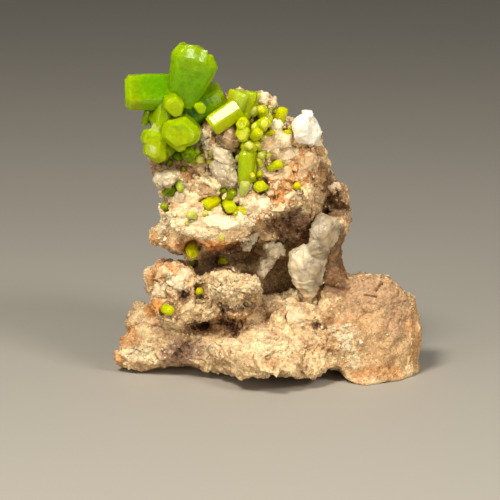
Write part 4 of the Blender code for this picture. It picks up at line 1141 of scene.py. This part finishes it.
def crystalShares(mesh, specs):
    # each point takes the shares of the crystal whose surface it lies on: how near it is to an
    # edge or an end, for a glow that is partly painted light, and the crystal's own tint, with painted light
    # on its lower side and foot
    shape = crystalShape
    points = pointsOf(mesh)
    best = np.full(len(points), 99.0)
    shares = {name: np.zeros(len(points)) for name in crystalFinish["shares"]}
    for spec in specs:
        foot, axis, side, other, length, apothem = crystalFrame(spec)
        arm = points - foot
        height, x, y = arm @ axis, arm @ side, arm @ other
        share = np.clip(height / length, 0.0, 1.0)
        rounded = hexReach(np.arctan2(y, x), spec, length)
        reach = girth(share, spec) * apothem * rounded
        radius = np.hypot(x, y)
        outward = radius / reach
        off = np.abs(np.maximum(radius - reach, np.maximum(height - length, -height)))
        nearCorner = smooth(0.93, 1.0, np.clip(rounded / 1.1547, 0.0, 1.0)) * smooth(0.8, 0.95, outward)
        nearRim = smooth(length - 0.30 * spec["width"], length - 0.02 * spec["width"], height)
        nearRim *= smooth(0.55, 0.9, outward)
        cap = shape["capGlow"] * smooth(length - 0.05 * spec["width"], length, height)
        glassy = smooth(length - 0.3, length, height) * (1.0 - smooth(0.2, 0.5, outward))
        band = np.exp(-((share - 0.82) / 0.08) ** 2) * spec.get("amber", 0.0)
        lower = smooth(0.1, -0.7, arm @ upSight / apothem)
        tint = spec.get("tint", 0.0) + spec.get("tipTint", 0.15) * smooth(0.35, 1.0, share)
        # the edge share: painted glow along corners, rims and the end face, partly real yellower rims
        edge = np.maximum(shape["edgeGlow"] * nearCorner, shape["rimGlow"] * nearRim)
        # the tint share carries painted light: lower sides and the foot are painted yellower as if lit
        # through
        own = {"edge": np.maximum(edge, cap),
               "tint": tint + shape["underglow"] * lower + spec.get("paintedFootGlow", 0.0) * (1.0 - share),
               "amber": band * (0.25 + 0.75 * lower), "shade": spec.get("shade", 0.0),
               "pale": spec.get("pale", 0.0) + spec.get("glassy", 0.0) * glassy,
               "polish": spec.get("flat", 0.0) ** 2}
        mine = off < best
        best = np.where(mine, off, best)
        for name, values in own.items():
            shares[name] = np.where(mine, values, shares[name])
    for name, values in shares.items():
        setShare(mesh, name, np.clip(values, 0.0, 1.0))
    return np.sqrt(shares["polish"])          # how flat each point's crystal is


def loneSpec(name):
    # a lone barrel's foot, tip and width, read from its node's corners: the long axis is the
    # direction in which they spread most, and the tip is the end nearer the eye
    mesh = nodeCopy(name)
    points = pointsOf(mesh)
    bpy.data.meshes.remove(mesh)
    middle = points.mean(axis=0)
    axis = np.linalg.svd(points - middle)[2][0]
    if axis @ sight > 0.0:
        axis = -axis
    along = (points - middle) @ axis
    grow = crystalShape["singleGrow"]
    across = np.linalg.norm((points - middle) - along[:, None] * axis, axis=1).max()
    return dict(foot=middle + axis * along.min(), tip=middle + axis * (along.max() + 0.3 * grow),
                width=2.0 * across + grow, roll=15.0, tint=0.85, rough=0.5, dome=0.3)


loneLooks = {
    "pyromorphite_bud": dict(tint=0.9), "pyromorphite_oval": dict(tint=0.95),
    "pyromorphite_speck_upper": dict(tint=0.9), "pyromorphite_lying": dict(tint=0.9),
    "pyromorphite_speck_right": dict(tint=1.0, amber=0.6),
    "pyromorphite_below_block": dict(shade=0.55, tint=0.1),
    "pyromorphite_left_edge": dict(shade=0.5, tint=0.7),
    "pyromorphite_recess_upper": dict(hopper=0.35, tint=0.8),
    "pyromorphite_recess_lower": dict(shade=0.25, tint=0.5), "pyromorphite_on_sponge": dict(tint=0.8),
    "pyromorphite_speck_lower": dict(tint=0.9), "pyromorphite_tray": dict(tint=0.7),
}


def buildCrystals(material):
    # first the groups that are grown together, then the lone ones
    made, pieces = [], []
    for name, rows in crystalGroups.items():
        specs = [part for row in rows for part in flankGrown(grownSpec(*row))]
        made.append(("crystals_" + name, "pyromorphite_" + name, specs))
    for node, look in loneLooks.items():
        made.append((node.replace("pyromorphite", "crystal"), node, [{**loneSpec(node), **look}]))
    for name, node, specs in made:
        mesh = unitedMesh([crystalMesh(spec) for spec in specs])
        softened(mesh, crystalShares(mesh, specs))
        piece = addPiece(name, mesh, material, [node], sharp=crystalShape["smoothAngle"])
        pieces.append(piece)
    return pieces


# Young crystals of under 2 mm. Zones are (u, v, reach across, reach up, how many), scattered where the
# photo's rock is green with them. Placed ones are those that the photo shows one by one: (u, v, width
# and length in pixels, turn from upright in degrees, lean towards the eye, tint, shade, pale).
druse = {
    "zones": [(248, 132, 15, 28, 70), (264, 112, 12, 12, 26), (261, 164, 7, 16, 22),
              (236, 128, 8, 14, 12), (192, 160, 16, 7, 12), (170, 142, 6, 14, 8), (160, 120, 10, 10, 6),
              (224, 206, 18, 7, 10), (243, 213, 10, 3, 5), (193, 222, 8, 6, 4), (276, 165, 9, 5, 4),
              (206, 158, 8, 6, 6), (232, 112, 10, 12, 8), (288, 132, 7, 5, 3), (176, 188, 11, 4, 6),
              (262, 188, 8, 6, 5), (280, 118, 7, 9, 4)],
    "placed": [(262, 110, 10, 8, 0, 0.9, 0.9, 0.0, 0.0), (264, 125, 11, 12, 10, 0.8, 0.8, 0.0, 0.1),
               (270, 133, 8, 9, 60, 0.3, 0.9, 0.0, 0.0), (291, 130, 6, 5, 20, 0.5, 1.0, 0.0, 0.0),
               (257, 134, 11, 11, 40, 0.6, 0.8, 0.0, 0.0), (249, 146, 10, 9, 15, 0.8, 0.7, 0.0, 0.3),
               (258, 146, 7, 8, -20, 0.6, 0.7, 0.0, 0.1), (241, 143, 7, 8, 30, 0.5, 0.5, 0.3, 0.0),
               (245, 187, 12, 13, 10, 0.4, 0.6, 0.0, 0.35), (252, 176, 7, 7, 30, 0.7, 0.8, 0.0, 0.1),
               (230, 195, 9, 13, 50, 0.3, 0.5, 0.45, 0.0), (222, 191, 7, 9, 70, 0.3, 0.4, 0.6, 0.0),
               (196, 153, 8, 9, 20, 0.6, 0.3, 0.4, 0.0), (188, 158, 7, 9, -30, 0.5, 0.2, 0.6, 0.0),
               (178, 157, 10, 9, 10, 0.7, 0.0, 0.5, 0.0), (201, 157, 7, 6, 60, 0.6, 0.5, 0.3, 0.0),
               (204, 147, 5, 8, 30, 0.5, 0.7, 0.1, 0.1), (169, 163, 6, 8, 40, 0.4, 0.3, 0.6, 0.0),
               (184, 170, 5, 6, 0, 0.6, 0.5, 0.5, 0.0), (146, 117, 8, 14, 15, 0.2, 0.4, 0.6, 0.0),
               (258, 97, 5, 8, 20, 0.3, 0.8, 0.0, 0.2), (266, 156, 5, 7, 70, 0.4, 1.0, 0.0, 0.1),
               (260, 162, 5, 8, -20, 0.4, 0.9, 0.0, 0.1), (262, 140, 5, 6, 40, 0.5, 0.8, 0.0, 0.2),
               (190, 221, 7, 8, 60, 0.3, 0.5, 0.0, 0.55), (222, 238, 7, 5, 80, 0.2, 0.9, 0.0, 0.3),
               (243, 213, 5, 7, 70, 0.3, 0.9, 0.0, 0.1), (205, 214, 5, 5, 30, 0.6, 0.8, 0.0, 0.2),
               (181, 189, 7, 12, 60, 0.2, 0.3, 0.7, 0.0), (167, 190, 6, 9, 50, 0.3, 0.4, 0.5, 0.0)],
    "small": 0.45, "large": 1.7, "rarer": 1.8, "lean": 0.6, "seed": 12, "sunk": 0.35, "smoothAngle": 24,
}


def placedSpec(tree, u, v, wide, long, turn, lean, tint, shade, pale):
    # a crystal that lies on whatever the line through its picture place meets first
    place, _ = spotOn(tree, u, v)
    width, length = wide * view["pixel"], long * view["pixel"]
    angle = math.radians(turn)
    flat = upSight * math.cos(angle) + np.array([1.0, 0.0, 0.0]) * math.sin(angle)
    axis = flat * (1.0 - lean) - sight * lean
    axis /= np.linalg.norm(axis)
    tip = place + axis * length * 0.6 - sight * 0.1 * width
    return dict(foot=place - axis * length * 0.6, tip=tip, width=width, roll=turn * 1.7, tint=tint,
                shade=shade, pale=pale, rough=0.5, dome=0.12 * width)


def buildDruse(tree, frontTree, material):
    # each scattered crystal stands near the rock's normal, leaning at random
    rng = np.random.default_rng(druse["seed"])
    specs = [placedSpec(frontTree, *row) for row in druse["placed"]]
    for *zone, count in druse["zones"]:
        for _ in range(count):
            place, normal = strewn(rng, tree, *zone)
            if place is None:
                continue
            width = druse["small"] + (druse["large"] - druse["small"]) * rng.uniform() ** druse["rarer"]
            axis = normal - 0.3 * sight + druse["lean"] * rng.normal(size=3)
            axis /= np.linalg.norm(axis)
            specs.append(dict(foot=place - axis * width * druse["sunk"],
                              tip=place + axis * width * rng.uniform(0.5, 1.2), width=width,
                              roll=rng.uniform(0.0, 60.0), tint=rng.uniform(0.45, 1.0),
                              shade=rng.uniform(0.0, 0.25), pale=rng.uniform(0.0, 0.3),
                              rough=0.6, dome=0.2 * width))
    form = bmesh.new()
    for spec in specs:
        mesh = crystalMesh(spec)
        crystalShares(mesh, [spec])
        form.from_mesh(mesh)
        bpy.data.meshes.remove(mesh)
    mesh = bpy.data.meshes.new("druse")
    form.to_mesh(mesh)
    form.free()
    addPiece("crystals_druse", mesh, material, sharp=druse["smoothAngle"])


# Grains of quartz and crumbs of rock on the surface
grains = {
    "count": 15000, "small": 0.13, "large": 0.36, "seed": 5, "sunk": 0.35, "backShare": 0.35,
    "lowest": 0.6, "calmLess": 0.85, "stained": 0.8, "palest": 0.2,
}


def cubeGrains(places, normals, sizes, rng):
    # grains as cubes with pushed corners, each turned at random: corner = place + size * turned
    corners = np.array([[x, y, z] for x in (-1, 1) for y in (-1, 1) for z in (-1, 1)], float)
    faces = np.array([[0, 1, 3], [0, 3, 2], [4, 6, 7], [4, 7, 5], [0, 4, 5], [0, 5, 1],
                      [2, 3, 7], [2, 7, 6], [0, 2, 6], [0, 6, 4], [1, 5, 7], [1, 7, 3]])
    count = len(places)
    pushed = corners[None] * rng.uniform(0.45, 1.0, (count, 8, 3)) * rng.uniform(0.6, 1.0, (count, 1, 3))
    turn = np.linalg.qr(rng.normal(size=(count, 3, 3)))[0]
    turn *= np.sign(np.linalg.det(turn))[:, None, None]
    turned = np.einsum("nij,nkj->nki", turn, pushed) * sizes[:, None, None] * 0.8
    points = places[:, None] - normals[:, None] * (sizes * grains["sunk"])[:, None, None] + turned
    allFaces = faces[None] + (np.arange(count) * 8)[:, None, None]
    return points.reshape(-1, 3), allFaces.reshape(-1, 3)


def buildGrains(rockPiece, material):
    # most grains lie on the side of the photo and where the rock is spongy, few where it is calm
    rng = np.random.default_rng(grains["seed"])
    faces = rockPiece.data.polygons
    middles, normals = readAll(faces, "center") / mm, readAll(faces, "normal")
    areas = readAll(faces, "area", 1)[:, 0]
    facing = -(normals @ sight)
    weight = areas * np.where(facing > -0.1, 1.0, grains["backShare"]) * (middles[:, 2] > grains["lowest"])
    zones = rockZones(middles)
    weight = weight * (1.0 - grains["calmLess"] * zones["calm"]) * (1.0 + zones["sponge"])
    picked = rng.choice(len(middles), grains["count"], replace=False, p=weight / weight.sum())
    spread = grains["large"] - grains["small"]
    sizes = rng.uniform(0.0, 1.0, grains["count"]) ** 2 * spread + grains["small"]
    points, corners = cubeGrains(middles[picked], normals[picked], sizes, rng)
    mesh = meshFrom("grains", inBox(points), corners)
    for name in ("tan", "stain", "brown_and_shade", "ash"):
        values = np.repeat(zones[name][picked], 8) * grains["stained"]
        setShare(mesh, name, np.clip(values, 0.0, 1.0))
    pale = np.repeat(rng.uniform(0.0, 1.0, grains["count"]), 8)
    setShare(mesh, "white", grains["palest"] + (1.0 - grains["palest"]) * pale)
    setShare(mesh, "hollow", np.zeros(len(points)))
    return addPiece("grains", mesh, material, sharp=30)


# Floor, light and camera
def aimed(thing, place, target):
    # put a light or the camera in place and turn it to a target, both in mm
    thing.location = Vector(place) * mm
    away = Vector(target) * mm - thing.location
    thing.rotation_euler = away.to_track_quat("-Z", "Y").to_euler()


def buildStage():
    half = stage["floorSize"] / 2.0
    corners = np.array([[-half, -half, 0.0], [half, -half, 0.0], [half, half, 0.0], [-half, half, 0.0]])
    mesh = meshFrom("floor", corners, np.array([[0, 1, 2, 3]]))
    floor = linked("floor", mesh)
    material, tree, shader, pattern, _ = newMaterial("plain pale board", floorFinish)
    colour = coated(tree, floorFinish, {"mottle": pattern["mottle"]["Fac"]})
    tree.links.new(colour, shader.inputs["Base Color"])
    mesh.materials.append(material)
    world = bpy.data.worlds.new("studio")
    world.use_nodes = True
    background = world.node_tree.nodes["Background"]
    background.inputs["Color"].default_value = (*stage["world"], 1.0)
    background.inputs["Strength"].default_value = stage["worldStrength"]
    bpy.context.scene.world = world
    for name, light in stage["lights"].items():
        lamp = bpy.data.lights.new(name, "AREA")
        lamp.shape = "SQUARE"
        lamp.size = light["size"] * mm
        lamp.energy = light["watts"]
        lamp.color = light["colour"]
        thing = bpy.data.objects.new(name, lamp)
        bpy.context.scene.collection.objects.link(thing)
        aimed(thing, light["place"], stage["aimAt"])


def buildCamera():
    camera = bpy.data.cameras.new("camera")
    camera.sensor_width = view["sensor"]
    camera.lens = view["sensor"] * view["distance"] / (view["pixel"] * view["size"])
    camera.clip_start = 10.0 * mm
    thing = bpy.data.objects.new("camera", camera)
    bpy.context.scene.collection.objects.link(thing)
    aimed(thing, eye, view["aim"])
    bpy.context.scene.camera = thing
    bpy.context.scene.view_settings.view_transform = "Standard"      # keeps the greens pure


buildCamera()
buildStage()
print("stage set")
rockStuff = rockMaterial()
rockPiece = buildRock(rockStuff)
print("rock built")
quartzStuff = quartzMaterial()
buildQuartz(quartzStuff)
print("quartz built")
crystalStuff = crystalMaterial()
crystalPieces = buildCrystals(crystalStuff)
rockTree = treeOf(rockPiece)
buildDruse(rockTree, treeOf(rockPiece, *crystalPieces), crystalStuff)
print("crystals built")
buildGrains(rockPiece, rockStuff)
buildBlocks(rockTree, quartzStuff)
buildRubble(rockTree, quartzStuff)
print("grains scattered")

bpy.context.view_layer.update()
